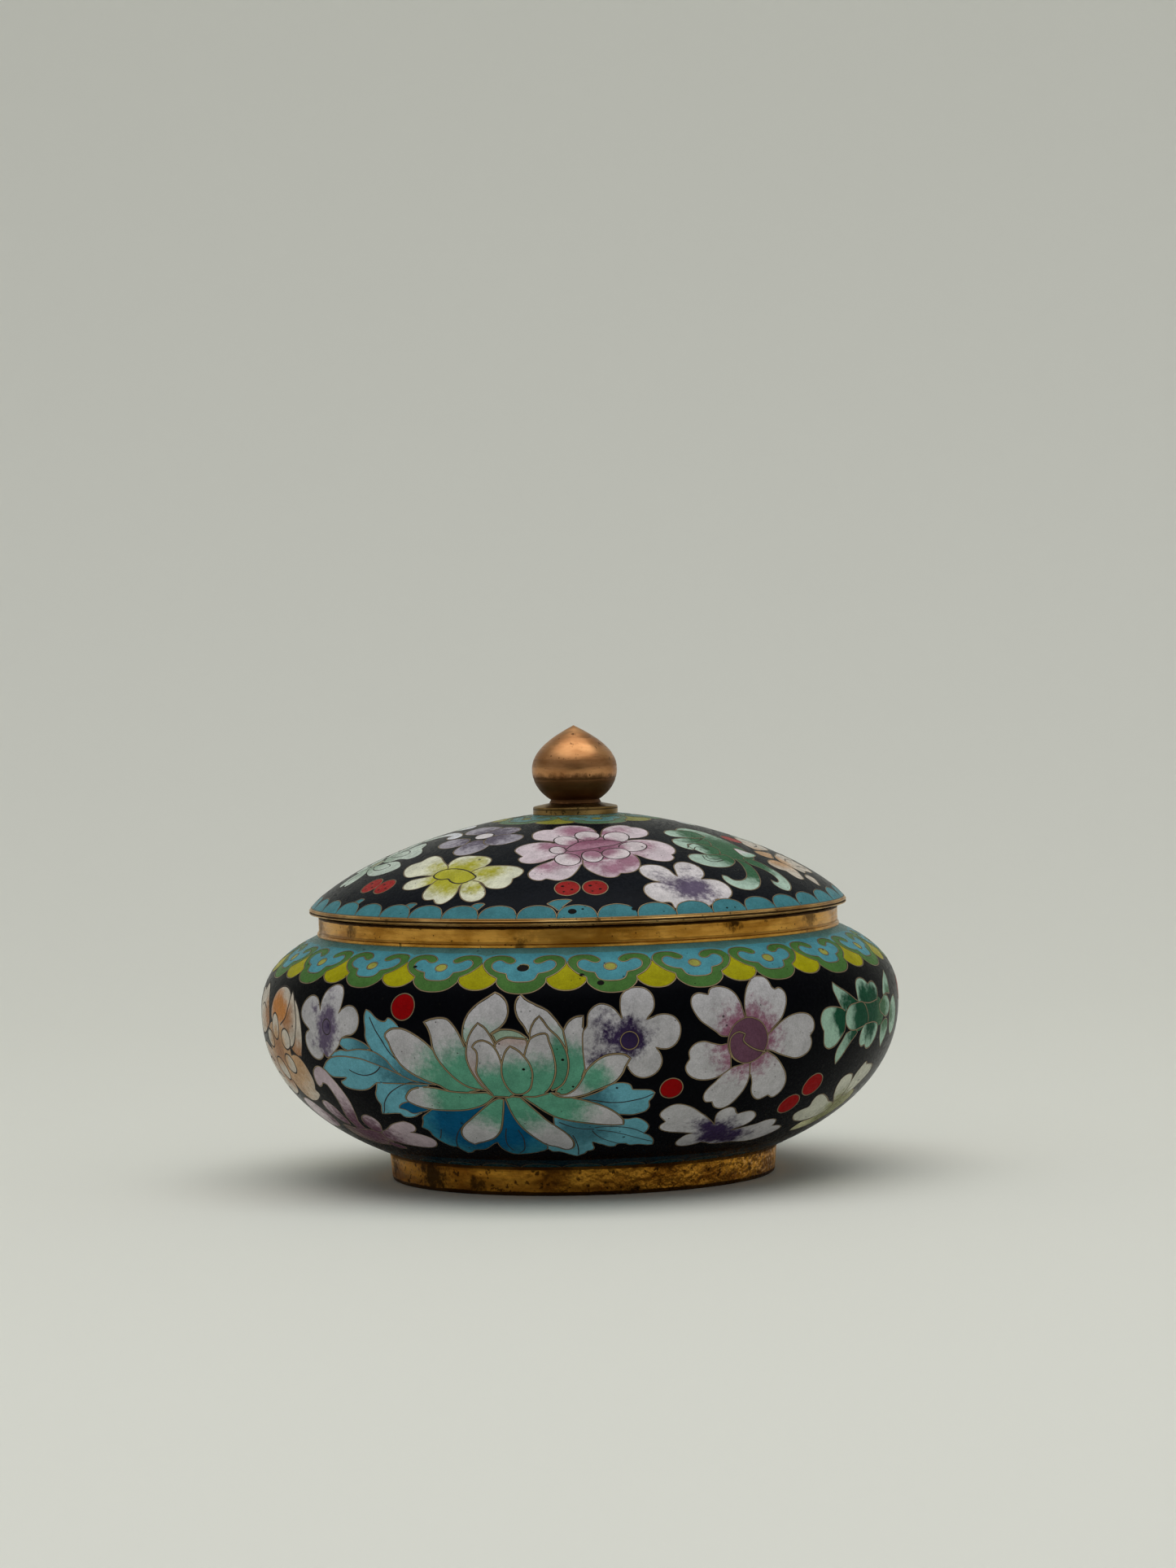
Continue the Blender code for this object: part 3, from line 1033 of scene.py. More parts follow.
def lotus_leaves(draw):
    """The turquoise leaves to the left of the lotus."""
    pale, dark = LEAF, GREY_TEAL
    stem = (10, -1)
    draw.cell([
        (-2.3, 14.6, 0), (-1.15, 14.2), (0.4, 13.05), (1.7, 12.4), (3.05, 12.3), (3.7, 13.05, 0),
        (4.4, 12.9), (5.4, 12.3), (6.3, 11.5, 0), (8, 9), (8, 4), (12, 0), (14, -1.4, 0),
        (8.6, -0.6), (3.8, 1.7), (3.05, 3.05), (1.7, 4.4), (0.15, 5.4), (-0.9, 6.2), (-1.7, 7.1),
        (-2.2, 8.05), (-2.5, 9.1), (-2.4, 10.4), (-2.66, 12.3), (-2.66, 13.6),
    ], dark, pale, along(stem, (2, 8)))
    draw.line([
        (-1.2, 13), (0.4, 10.4), (2, 8.3), (3.6, 5.9), (5.7, 3.8), (7, 2.3), (9.4, 0.7),
        (11.2, -0.1),
    ])
    draw.cell([
        (-10.9, 7.3, 0), (-9.3, 8.2), (-6.7, 8.45), (-4.05, 7.9), (-2.2, 7.1), (-1.15, 6.2, 0),
        (-4.8, 6.1), (-7.5, 5.8), (-9.05, 5.95),
    ], pale, dark, along((-9, 7), (-2, 7)))
    draw.cell([
        (-13.8, 4.1, 0), (-12.7, 4.9), (-10.4, 5.7), (-8.5, 5.6), (-4.8, 6.1), (-1.2, 5.9),
        (0.4, 5.4), (2.5, 4.1), (4.4, 1.7), (8.3, -0.5, 0), (4, 1.4), (0.7, 2.6), (-4, 4),
        (-10, 4.3),
    ], dark, pale, along((4, 2), (-6, 5)))
    draw.cell([
        (-17.7, 1.2, 0), (-15.9, 2.8), (-13.8, 3.85), (-10.6, 4.3), (-7.5, 4.25), (-4.3, 3.97),
        (-1.7, 3.3), (0.7, 2.6), (4, 1.4), (8.3, -0.5), (12, -1.2, 0), (8, -1.3), (4.9, -1.7),
        (2.8, -2.5), (0, -1.9), (-1.7, -1.4, 0), (-4.8, -3.1), (-7.5, -3.6), (-10.4, -3.4),
        (-12.2, -2.8), (-12.8, -1.8), (-11.4, -1.2), (-10.4, -0.6, 0), (-13.3, -0.75),
        (-15.4, -0.6),
    ], dark, pale, along((6, -1), (-4, 1)))
    draw.line([
        (0.7, 2.6), (-0.6, 1.5), (-2.2, 0.7), (-4.3, 0.25), (-6.4, 0.4), (-8, 0.9), (-8.8, 1.3),
    ])
    draw.cell([
        (-1.7, -1.4, 0), (-2.5, -3), (-3.3, -4.2), (-3.65, -5.8), (-3.4, -7.3), (-4.1, -8.8),
        (-4.7, -10.1, 0), (-3, -10), (-0.9, -9.7), (0.7, -9.6, 0), (1.2, -10.6), (2.7, -10.75),
        (4.4, -10.3), (5.5, -9.7), (7, -8.9), (9, -7), (9, -4), (12, -1.2, 0),
    ], dark, pale, along(stem, (1, -5)))
    draw.line([
        (12, -1.2), (8.3, -0.8), (4.9, -1.7), (2.8, -2.7), (0.95, -3.8), (-0.9, -5.4), (-2.2, -6.9),
        (-3.3, -8.8), (-4.3, -10.1),
    ])
    draw.cell([
        (1.3, -8, 0), (2, -7.1), (3.6, -6.3), (5.2, -6), (8, -6.5), (9, -8, 0), (7.5, -8.7),
        (6.5, -8.9), (4.9, -9.4), (3.8, -9.3), (3.05, -8.5),
    ], BLUE)


def lotus_leaf(draw):
    """The dark blue leaf under the lotus."""
    draw.cell([
        (-18.7, -6.2), (-20, -7.4), (-20.3, -9), (-21.2, -11, 0), (-19.7, -12.2), (-19.3, -14),
        (-18.6, -15.4), (-17.2, -17.3), (-15.6, -18.7), (-14.4, -18.8, 0), (-13.7, -20.4),
        (-12.7, -21.7, 0), (-11.6, -21.3), (-10.6, -20.1), (-8.3, -19.6), (-6.9, -18.5),
        (-5.6, -17), (-4.5, -16.1, 0), (-4.4, -17.9), (-4, -19.3), (-3.2, -20.7), (-2.1, -21.7),
        (0.4, -21.6), (2.4, -21.1), (4.1, -20.3), (5.4, -19.4), (5.9, -18.2, 0), (4, -10),
        (0, -2, 0), (-8, -4), (-16, -4.5),
    ], BLUE, TEAL, around((-6, -8), 8, 17))
    for vein in (
        [(-16.5, -11.5), (-17.3, -14.2), (-17.9, -15.3)],
        [(-10.1, -9.2), (-12.05, -11.45), (-13.3, -13.95), (-14.1, -16.4), (-14.4, -18.7)],
        [(-1.35, -10.6), (-2.3, -14.5), (-2.5, -17.5), (-1.8, -20)],
        [(1.1, -11.2), (1.55, -14), (1.3, -16.7), (0.45, -19.8), (-0.9, -21.4)],
    ):
        draw.line(vein)


def lotus(draw):
    """White petals that turn green towards their base."""
    draw.pen = (False, 1.5)

    def petal(base, start, stop, points):
        draw.cell(points, base, WHITE, along(start, stop), grain=0.8)

    petal(PALE_GREEN, (-3, 9), (-3, 18), [
        (-0.9, 21.9, 0), (0.6, 21.1), (1.8, 19.6), (2.2, 17.6), (1.7, 15.8), (0.5, 14.4),
        (-1.4, 13.2), (-4, 11), (-6.5, 10.5), (-7.6, 12), (-7.7, 13.8), (-7.2, 15.8), (-6.2, 17.6),
        (-4.4, 19.4), (-2.4, 20.8),
    ])
    petal(PALE_GREEN, (12, 7), (8, 17), [
        (4.6, 21.4, 0), (5.9, 20.2), (7.9, 19.1), (10.3, 17.9), (11.8, 16.4), (13, 14.8),
        (13.9, 13.3), (14.5, 11), (13, 9), (9, 10), (6.5, 12.8), (5.6, 14.5), (4.4, 16.1),
        (3.7, 17.9), (3.75, 20),
    ])
    petal(GREEN, (15, 7), (16.5, 14), [
        (13.7, 13.6, 0), (14.7, 15.4), (16.2, 16.4), (17.9, 16.6, 0), (17.8, 13), (18.2, 9.5),
        (18, 6.5), (17.3, 4.3), (16.2, 2.1), (14.8, 0.2), (13.5, -1), (11, 0, 0), (13, 4),
        (14.3, 9),
    ])
    petal(GREEN, (-12, 4), (-22, 11), [
        (-26.4, 12.4), (-24.8, 13.7), (-22, 13.9), (-19, 12.8), (-16, 10.9), (-13, 8), (-9, 4),
        (-5, 0.6, 0), (-8, 0), (-11.5, 0.1), (-14.1, 1.6), (-17.1, 2.7), (-20, 4.1), (-22.5, 5.9),
        (-24.5, 8.6), (-25.6, 11),
    ])
    petal(GREEN, (-8.5, 5), (-13, 14), [
        (-16.6, 15.4, 0), (-15, 16), (-12.9, 16.35), (-11.2, 16.1), (-10, 15.1), (-8.8, 13.5),
        (-7.9, 11.7), (-6.5, 8), (-5.5, 4), (-3.6, 0.5, 0), (-5.9, 0.9), (-7.7, 1.5), (-10, 3.2),
        (-12.1, 5.5), (-13.8, 7.9), (-14.7, 10.2), (-15, 12.3), (-15.7, 14.2),
    ])
    draw.cell([
        (-1.3, 13, 0), (0.3, 13.9), (2.1, 14), (4.1, 13.6), (5.6, 12.7), (6.6, 11.8, 0), (3.5, 11),
        (0, 11),
    ], SAGE)
    draw.cell([
        (-0.9, 10.6, 0), (0, 11.6), (1.8, 12.3), (3.8, 12.2), (6, 11.8), (6.2, 11, 0), (5.2, 8.6),
        (3, 8), (0, 7.7, 0), (-0.3, 9),
    ], BLUSH, WHITE, along((2, 12), (2, 9)))
    petal(BLUSH, (-6, 3), (-3, 13), [
        (-4.3, 15.3, 0), (-2.9, 14.4), (-1.8, 12.9), (-0.8, 11), (-0.5, 8), (-1, 4),
        (-2.5, -0.8, 0), (-4.2, 1.3), (-5.4, 3.3), (-6.5, 5.6), (-7.1, 8), (-7, 10), (-6.5, 12.1),
        (-5.6, 13.8),
    ])
    petal(DEEP_GREEN, (13, 9), (9, 14), [
        (8.75, 16.7, 0), (9.7, 15.5), (10.9, 13.9), (12.4, 12.5), (13.6, 10.7), (14.3, 8.7),
        (14.4, 6.2), (13.8, 3.8), (12.6, 1.8), (10.4, 0.4, 0), (9, 3), (7, 11), (6.7, 12.5),
        (7, 14.2), (7.7, 15.6),
    ])
    petal(GREEN, (8.5, 3), (8.5, 11.5), [
        (6.7, 12, 0), (7.5, 12.5), (8.8, 13), (10.2, 13), (10.7, 11.4), (11.3, 9.4), (11.7, 6.7),
        (11.5, 4.4), (10.7, 2.3), (9.4, 0.4), (7.5, -0.8), (4, -1.2, 0), (5, 4), (5.4, 8.6, 0),
        (6, 10.4),
    ])
    petal(GREEN, (-2, 2), (-2.5, 9.5), [
        (0.1, 8.2), (-0.9, 10.3), (-2.1, 11.3), (-3.5, 11.7), (-4.9, 11.3), (-5.7, 10.3, 0),
        (-4.8, 9.3), (-4.8, 7.2), (-5.2, 5), (-4.4, 2.8), (-3.2, 0.8), (-2, -1, 0), (-0.5, -1.1),
        (1, -1.1), (2.2, -0.6, 0), (1, 3), (0.5, 6),
    ])
    petal(GREEN, (3.5, 4), (3.5, 10.5), [
        (2.5, 10.5, 0), (1.6, 9.6), (0.8, 7.8), (0.3, 5.5), (0.4, 3.2), (1.2, 1), (2.2, -0.3),
        (3.5, -0.5), (4.8, 0), (5.9, 1.1), (6.5, 2.9), (6.75, 4.9), (6.3, 6.7), (5.4, 8.2),
        (4, 9.7),
    ])
    petal(GREEN, (-12, -2), (-21.5, -2), [
        (-22.9, -2.3), (-21.6, -0.1), (-19.3, 0.9), (-15.5, 1), (-12, 0.2), (-8, -0.1),
        (-3.6, 0, 0), (-2, -1.1, 0), (-4.4, -3.1), (-6.3, -4), (-9, -4.8), (-13, -5.1), (-17, -4.9),
        (-20.5, -4),
    ])
    petal(GREEN, (-2.5, -4), (-9, -13), [
        (-9.9, -17.3, 0), (-11.2, -15.9), (-11.9, -13.9), (-11.7, -11.8), (-10.6, -9.8),
        (-8.5, -7.6), (-6.5, -5.6), (-4.7, -3.9), (-2.9, -2.4), (-1.2, -1.5), (-0.2, -1.8, 0),
        (-0.6, -4), (-1.2, -6.5), (-1.9, -9.2), (-2.9, -11.8), (-4.8, -14.4), (-7, -15.8),
        (-8.6, -16.5),
    ])
    petal(GREEN, (3, -4), (8, -15), [
        (0.2, -1.5, 0), (0.6, -4.3), (1.2, -7.2), (2.1, -10.2), (3.6, -13.3), (5, -15.8),
        (5.9, -17.2), (7.8, -18.2), (9.5, -19.6), (10.9, -18.9), (11.7, -17), (11.7, -14.8),
        (10.9, -12.4), (9.4, -10), (7.9, -7.9), (6.5, -5.6), (5, -3.3), (3.5, -1.2, 0), (2, -1),
    ])
    petal(GREEN, (12, -3), (21, -8), [
        (10, 0, 0), (12.2, -1), (14.6, -1.6), (18, -2.8), (21, -4.5), (22.9, -6.5), (23.7, -8.5),
        (23.4, -10, 0), (21, -10), (17, -9.3), (13, -8.3), (10, -7), (8, -5.3), (6, -3.2),
        (3.8, -1, 0), (6.5, -1.1), (8.6, -0.5),
    ])


def flaws(draw, *places):
    """Small pits and dark flecks in the glass: x, y and width."""
    for x, y, width in places:
        draw.cell(oval(x, y, width / 2, width * 0.4), PIT, wire=False)


def lotus_overlap(draw):
    """The lotus petal that lies over the white flower at its right."""
    draw.pen = (False, 1.5)
    draw.cell([
        (27.3, 7.4, 0), (26.4, 8.2), (24.5, 8.5), (22, 8.1), (19.8, 6.8), (18, 5), (17.2, 3.6),
        (16.2, 2), (14.8, 0.4), (12.5, -0.7), (10, 0, 0), (11.5, -1.1), (14, -1.4), (17, -0.8),
        (19, 0.1), (21.2, 1), (23.5, 2.1), (25.3, 4), (26.3, 5.9),
    ], GREEN, WHITE, around((19.5, 3), 0.5, 6.5), grain=0.8)
    flaws(
        draw, (5, 5.5, 0.8), (13.3, 7.5, 0.8), (12.3, 9.8, 0.5), (14.8, 1.3, 0.7), (12.4, 0.7, 0.6),
        (6.3, 3.5, 0.5), (0.2, 11, 0.6), (23.8, 0.7, 0.7), (-28.7, 1.8, 0.6), (-18.4, 1.2, 0.4),
        (-12, 5, 0.4), (-9, 9, 0.5), (-15, -3, 0.5), (3, -9, 0.5), (17, -5, 0.4), (-4, 4, 0.4),
    )


def lower_leaves(draw):
    """The turquoise leaves that spread below the lotus."""
    pale, dark = LEAF, GREY_TEAL
    draw.cell([
        (-7.8, 8.1, 0), (-5.2, 9.1), (-2.8, 10.2), (-1.2, 11.4), (0.1, 11.9), (2, 11.9),
        (3.2, 11.4), (3.7, 10.2, 0), (5.4, 10.1), (7.7, 9.8), (8.5, 9.1, 0), (7.9, 7.7), (7.3, 6.9),
        (7.5, 5.6), (6.9, 4.3), (5.6, 3.6), (4, 3.2), (2.5, 3.3), (-1, 4), (-5, 6.5),
    ], dark, pale, along((-4, 6), (2, 8)))
    draw.line([
        (-7.8, 8.1), (-4.5, 7.7), (-1.2, 7), (1.4, 6.9), (4, 7.3), (6.5, 8), (8.2, 8.9),
    ])
    draw.cell([
        (-12, 4), (-4, 3), (2, 2), (3.3, 1.9), (4.8, 2.2), (6.2, 1.5), (7.3, 0.3), (7.8, -1),
        (7.5, -2.4), (6.9, -3.5, 0), (8, -4.3), (8.9, -5.6), (9.3, -7), (9.2, -8.5, 0), (8, -8.6),
        (6.2, -8.1), (4.1, -8.2), (3.5, -7.6, 0), (2.5, -7.4), (1.5, -7.7), (1.2, -8.6, 0),
        (0, -8.6), (-1.2, -7.8), (-2.5, -7), (-3.7, -6.2, 0), (-3.5, -7.6), (-3.1, -8.9),
        (-3.4, -10), (-4.5, -10.6), (-4.9, -11.8), (-5.7, -12.4, 0), (-6.4, -13.2, 0),
        (-7.8, -12.3), (-9.1, -11.3), (-10.4, -10.5), (-11.7, -10.5), (-12.6, -9.4), (-13.6, -8.4),
        (-14.2, -7, 0), (-12, -2),
    ], dark, pale, around((-6, -1), 2, 9))
    for vein in (
        [(-11.2, 1.4), (-9.1, 0.05), (-6.5, -1), (-3.8, -1.3)],
        [(-3.6, -0.7), (-1.2, -0.5), (2.5, -0.9), (4.8, -1.8), (7.1, -3.5)],
        [(-3.05, -1.7), (-0.2, -2.3), (2.5, -3.5), (5.1, -4.95), (7.5, -6.3), (9, -7.05)],
        [(-4.1, -1.8), (-3.05, -3.6), (-1.5, -5.2), (0.4, -6.5), (1.7, -7.3), (3.5, -7.4)],
        [(-8.05, -3.4), (-7.3, -5.5), (-6.7, -7.8), (-6.3, -10.5), (-6.2, -12.3)],
    ):
        draw.line(vein)


def plum(draw):
    """The white five-lobed flower with a deep purple heart."""
    draw.cell([
        (-1.2, 7), (-0.8, 8.7), (0.7, 10.1), (2.5, 10.5), (4.3, 10.1), (5.6, 8.7), (6, 7),
        (5.7, 5.4), (4.1, 3.4, 0), (5.3, 3.8), (6.6, 4.3), (8.3, 4.4), (10.2, 3.7), (11.3, 2.1),
        (11.3, 0), (10.4, -1.8), (8.8, -2.8), (7.1, -2.8), (6, -2.4, 0), (7, -3.8), (7.4, -5.4),
        (6.8, -7.3), (5.4, -8.6), (3.5, -9.1), (1.6, -8.4), (0.3, -6.8), (-0.2, -5.6), (-4, -6),
        (-8.6, -7.5, 0), (-9.2, -2), (-9, 1.5), (-8.3, 2.4), (-8, 4.8), (-7, 6.2), (-5.4, 7),
        (-3.7, 6.7), (-2.3, 5.7), (-0.9, 3.7, 0), (-1.2, 5.3),
    ], PURPLE, WHITE, smear(
        (0.5, -0.6, 5.4, -0.5), (0.6, 2.6, 3.6, 0), (-3.5, 0.4, 5, 0.05), (-6, -4.4, 6, 0.3),
        (-5.4, 3.6, 4.6, 0.42), (3, 0.6, 4, 0.2),
    ), grain=1.5)
    draw.cell(oval(0.5, -0.8, 1.9), PURPLE, INK, along((0, -2), (0, 4)))


def great_flower(draw):
    """The large white flower with a mauve disc."""
    disc = (-0.5, 0.8)
    speckled = around(disc, 2.6, 11.8)
    for petal in (
        [
            (-9.2, 11, 0), (-11.3, 11.5), (-12.8, 10.8), (-13.4, 9.3), (-13, 7.7), (-11.7, 5.7),
            (-9.7, 4.2), (-8, 3), (-7, 2.2), (-5, 2, 0), (-1.3, 5.7, 0), (-1.7, 7.3), (-2.2, 9.3),
            (-3.2, 11.2), (-4.7, 12.3), (-6.7, 12.7), (-8.5, 12.2),
        ],
        [
            (-1, 5.7, 0), (-1.2, 8), (-0.8, 10), (0.2, 12), (1.7, 13.7), (3.3, 14.5), (5.3, 14.2),
            (6.2, 13), (6.5, 11.7), (7.2, 11.2, 0), (8.3, 11.5), (9.5, 10.5), (9.7, 8.7), (9, 6.7),
            (8, 5), (6, 3.3), (4.3, 1.8, 0),
        ],
        [
            (4.5, 2, 0), (5, 2.2), (8, 4.3), (10.3, 5.3), (13, 5.7), (15.7, 5.2), (17.2, 3.8),
            (17.3, 2), (16.2, 0.7, 0), (16.8, -0.7), (16.5, -2.3), (15, -3.5), (12.7, -4),
            (10.3, -3.5), (7.3, -2.5), (5.3, -1.7), (4, -1.5, 0),
        ],
        [
            (4.5, -1.8, 0), (7, -3.3), (9, -5.3), (10.7, -7.7), (11.3, -10), (10.7, -12.2),
            (9, -13.5), (7.5, -12.7, 0), (6.5, -13.3), (5.3, -13.7), (3.7, -12.8), (2.5, -11),
            (2, -8.7), (1, -6.3), (0.7, -4, 0),
        ],
        [
            (0.4, -4, 0), (1, -7.3), (0.7, -10), (-0.2, -12.3), (-1.5, -14.5), (-3.3, -15.5),
            (-5.2, -14.8), (-6.2, -13.3, 0), (-7.7, -13.2), (-8.7, -11.7), (-8.5, -10), (-7, -8),
            (-5, -5.7), (-3.3, -4.7, 0),
        ],
        [
            (-4, -5, 0), (-5.3, -6), (-7, -7), (-9.3, -7.4), (-11.7, -7), (-13.7, -5.7),
            (-14.5, -4), (-13.8, -2.3, 0), (-14.1, -0.7), (-13, 0.8), (-11, 1.3), (-8.7, 0.7),
            (-6.7, 0.3), (-5.5, 0.5), (-4.8, 0, 0),
        ],
    ):
        draw.cell(petal, MAUVE, WHITE, speckled, grain=1.5)
    draw.cell(oval(*disc, 4.9), PLUM)
    for vein in (
        [(-1.3, 2.3), (-3, 2.8), (-4.7, 1.7), (-4.8, -0.7), (-3.7, -2.7), (-2, -3.8)],
        [(-1.3, 2.3), (-1.7, 1), (-0.3, -0.3), (1.7, -1.3), (4, -1.9)],
    ):
        draw.line(vein, dark=False, wide=1.3)


def left_flower(draw):
    """The small white flower with a purple streak."""
    draw.cell([
        (-2.2, 5.3), (-1.8, 7.3), (-0.7, 8.9), (1.3, 9.8), (3.2, 9.4), (4.5, 7.8), (4.8, 5.9),
        (4.5, 4.2), (4, 3.4, 0), (5.2, 4.5), (6.8, 5.25), (8.8, 4.9), (10.2, 3.4), (10.4, 1.7),
        (9.6, 0), (8.2, -0.9), (6.55, -1.2), (4.9, -1.9), (3.8, -3.5), (1.55, -5.2), (-0.7, -6.3),
        (-1.8, -5.4, 0), (-2.1, -6.1), (-3.7, -6.9), (-5.9, -6.5), (-7.5, -4.9), (-8.1, -3),
        (-7.6, -1.3), (-6.2, -0.5, 0), (-7.3, 0.2), (-8.7, 1.2), (-9.6, 2.8), (-9, 4.8),
        (-7.6, 6.3), (-5.7, 6.9), (-3.7, 6.3), (-2.6, 4.8), (-2.2, 3.7, 0),
    ], LILAC, WHITE, smear(
        (0.2, 0.6, 5, -0.6), (-0.8, -2.8, 4, -0.3), (-0.9, -5.4, 3, 0), (0.8, 3.4, 3.4, -0.1),
        (-4.2, 4.2, 2.6, 0.2), (0.6, 8, 2.2, 0.25), (3.4, -1.6, 2.6, 0.35), (-5.6, -3, 3, 0.45),
    ), grain=1.6)
    draw.pen = (True, 0.7)
    draw.cell(oval(0.2, 0.4, 1.4, 1.7), PURPLE, LILAC, around((0.2, 0.4), 0, 2))


def lower_flower(draw):
    """The long white flower near the foot, deep purple in the middle."""
    draw.cell([
        (-17.4, 7.4), (-16.3, 9.05), (-14.7, 9.7), (-12.4, 9.2), (-10.2, 8.1), (-8.3, 6.7),
        (-6.3, 5.2), (-4.4, 3.5), (-3, 2, 0), (-4, 4.6), (-4.1, 6), (-3.3, 7.1), (-1.6, 7.7),
        (-0.2, 7.1), (0.5, 6), (1.2, 5.3, 0), (2.5, 5.7), (4.2, 5.9), (5.75, 5.2), (6.6, 3.8),
        (6.2, 2.1), (4.8, 0.7), (3.1, -0.1), (2.4, -0.8, 0), (6.2, 0.3), (8.4, 0.9), (10.3, 1.8),
        (12.3, 2.05), (13.7, 1.6), (14.2, 0.4), (14.1, -0.9, 0), (15.9, -0.9), (17.3, -1.5),
        (17.7, -2.3), (16.7, -3.7), (14.8, -5.1), (12.6, -6.2), (10.3, -6.8), (7.5, -6.6),
        (5, -6.2), (2.5, -6.4), (0, -6.2), (-1.6, -5.4), (-3, -5, 0), (-4.1, -5.7), (-6, -6.3),
        (-8, -5.9), (-9.1, -4.5), (-9.1, -2.9), (-8.3, -1.2), (-6.9, -0.7, 0), (-9.7, -0.1),
        (-12.4, 0.4), (-14.7, 1.3), (-15.8, 2.4), (-15.8, 3.5), (-15.2, 4.3, 0), (-16.3, 5.4),
        (-17.2, 6.4),
    ], PURPLE, WHITE, smear(
        (-1, -1.6, 6.4, -0.5), (-4.8, 1.8, 4.6, -0.1), (3.4, -3.2, 6, -0.25), (-8, 3.4, 4, 0.42),
        (8, -3, 5, 0.42), (0, 3, 3.4, 0.35),
    ), grain=1.3)


def green_flower(draw):
    """The green flower at the right, mint at its edges."""
    draw.cell(
        [(-5, 4.4), (0, 4.8), (8, 4.6), (11, 2), (10, -1), (4, -1.6), (0, -1.6), (-5, -1.6)],
        EMERALD, FOREST, around((2.5, 1.5), 2, 9), wire=False,
    )

    def petal(core, rim, fade, points):
        draw.cell(points, core, rim, fade, grain=1.1)

    petal(EMERALD, MINT, smear((-4, 4.6, 6, -0.2), (-7.5, 4.6, 4, 0)), [
        (-10.6, 9.4, 0), (-9.4, 8.4), (-7.4, 7.3), (-5.5, 6.2), (-3.6, 5.05), (-2.4, 4.5, 0),
        (-7.7, 2.8, 0), (-9.4, 3.9), (-10.8, 6.2), (-11.3, 7.8),
    ])
    petal(FOREST, MINT, around((14.5, 5), 0, 3.5), [
        (16.4, 9.9, 0), (16.7, 8.5), (16.4, 6.4), (16.2, 4.7, 0), (13.3, 5), (11, 4.9), (12.4, 7.5),
    ])
    petal(FOREST, MINT, around((17, 0), 0, 4), [
        (19.4, 4.1), (21.8, 2.5), (22.9, -0.5), (21.8, -3.4), (19.2, -4.6), (16.1, -2.3),
        (15.8, 1.5),
    ])
    petal(EMERALD, MINT, around((-4, -2), 0, 5.5), [
        (-8.7, -8.7, 0), (-9.7, -6.9), (-9.7, -5.2), (-8.6, -3.6), (-7.3, -1.9, 0), (-3.6, -1.3),
        (-2.7, -2.2, 0), (-4.7, -3.8), (-6, -5.2), (-7.4, -7.2),
    ])
    petal(FOREST, MINT, around((12, -1), 0.5, 4.5), [
        (12.4, -6.9, 0), (10, -4.3), (9.4, -1.5, 0), (12.4, -0.4), (14.2, -1), (14.8, -2.8),
    ])
    petal(EMERALD, MINT, smear((0.8, 5.4, 4.4, -0.4), (4.8, 5.2, 4.2, -0.4), (2.6, 4, 4.4, -0.6)), [
        (-2.4, 4.5, 0), (-2.6, 5.9), (-2.4, 7.8), (-1.3, 9.1), (0.6, 9.5), (2.3, 8.9),
        (3.4, 7.8, 0), (4.8, 8.25), (6.4, 8.1), (7.5, 7), (7.7, 5.6), (7, 4.2, 0), (2.5, 3.8),
    ])
    shade = smear((-9.4, 1.8, 4.2, -0.7), (-8.8, -0.4, 3, -0.6), (-11.4, 2.4, 2.4, -0.2))
    petal(EMERALD, MINT, shade, [
        (-16.3, 2.8), (-15.5, 3.7), (-13.8, 4.2), (-11.6, 4.1), (-8.8, 3.4), (-7.7, 2.6, 0),
        (-8, -1.3, 0), (-9.4, -3), (-11, -4.4), (-13, -4.8), (-14.7, -3.8), (-15.2, -2.2),
        (-15.4, -0.8, 0), (-16.2, 0.3), (-16.6, 1.4),
    ])
    petal(FOREST, MINT, around((10.4, 2.4), 0.5, 5.5), [
        (9.8, 3.9), (11.8, 4.8), (14.2, 4.2), (15.7, 2.5), (14.9, 0.8), (12.5, 0), (10.4, 0.7),
        (8.6, 1.6), (8, 3, 0),
    ])
    petal(MINT, EMERALD, along((-7, 1.4), (-2.5, 1.6)), [
        (-7.9, 1.4), (-7.4, 2.8), (-6, 3.9), (-4.1, 4.2), (0, 4), (2, 0), (-2.4, -1.3),
        (-4.1, -1.5), (-6, -1.2), (-7.4, -0.2),
    ])
    petal(EMERALD, MINT, smear((3.6, -0.8, 4.6, -0.3), (2.6, -3, 2.8, 0), (4.6, -3.4, 2.4, 0.1)), [
        (-1.3, -3.6), (-1, -2.2), (0.3, -0.8), (2.5, -0.5), (5.6, -0.6), (7.3, -1.3), (7.4, -3),
        (6.4, -4.7), (4.8, -6), (3.1, -6.2), (1.7, -5.2, 0), (0.3, -5.5), (-0.9, -4.7),
    ])


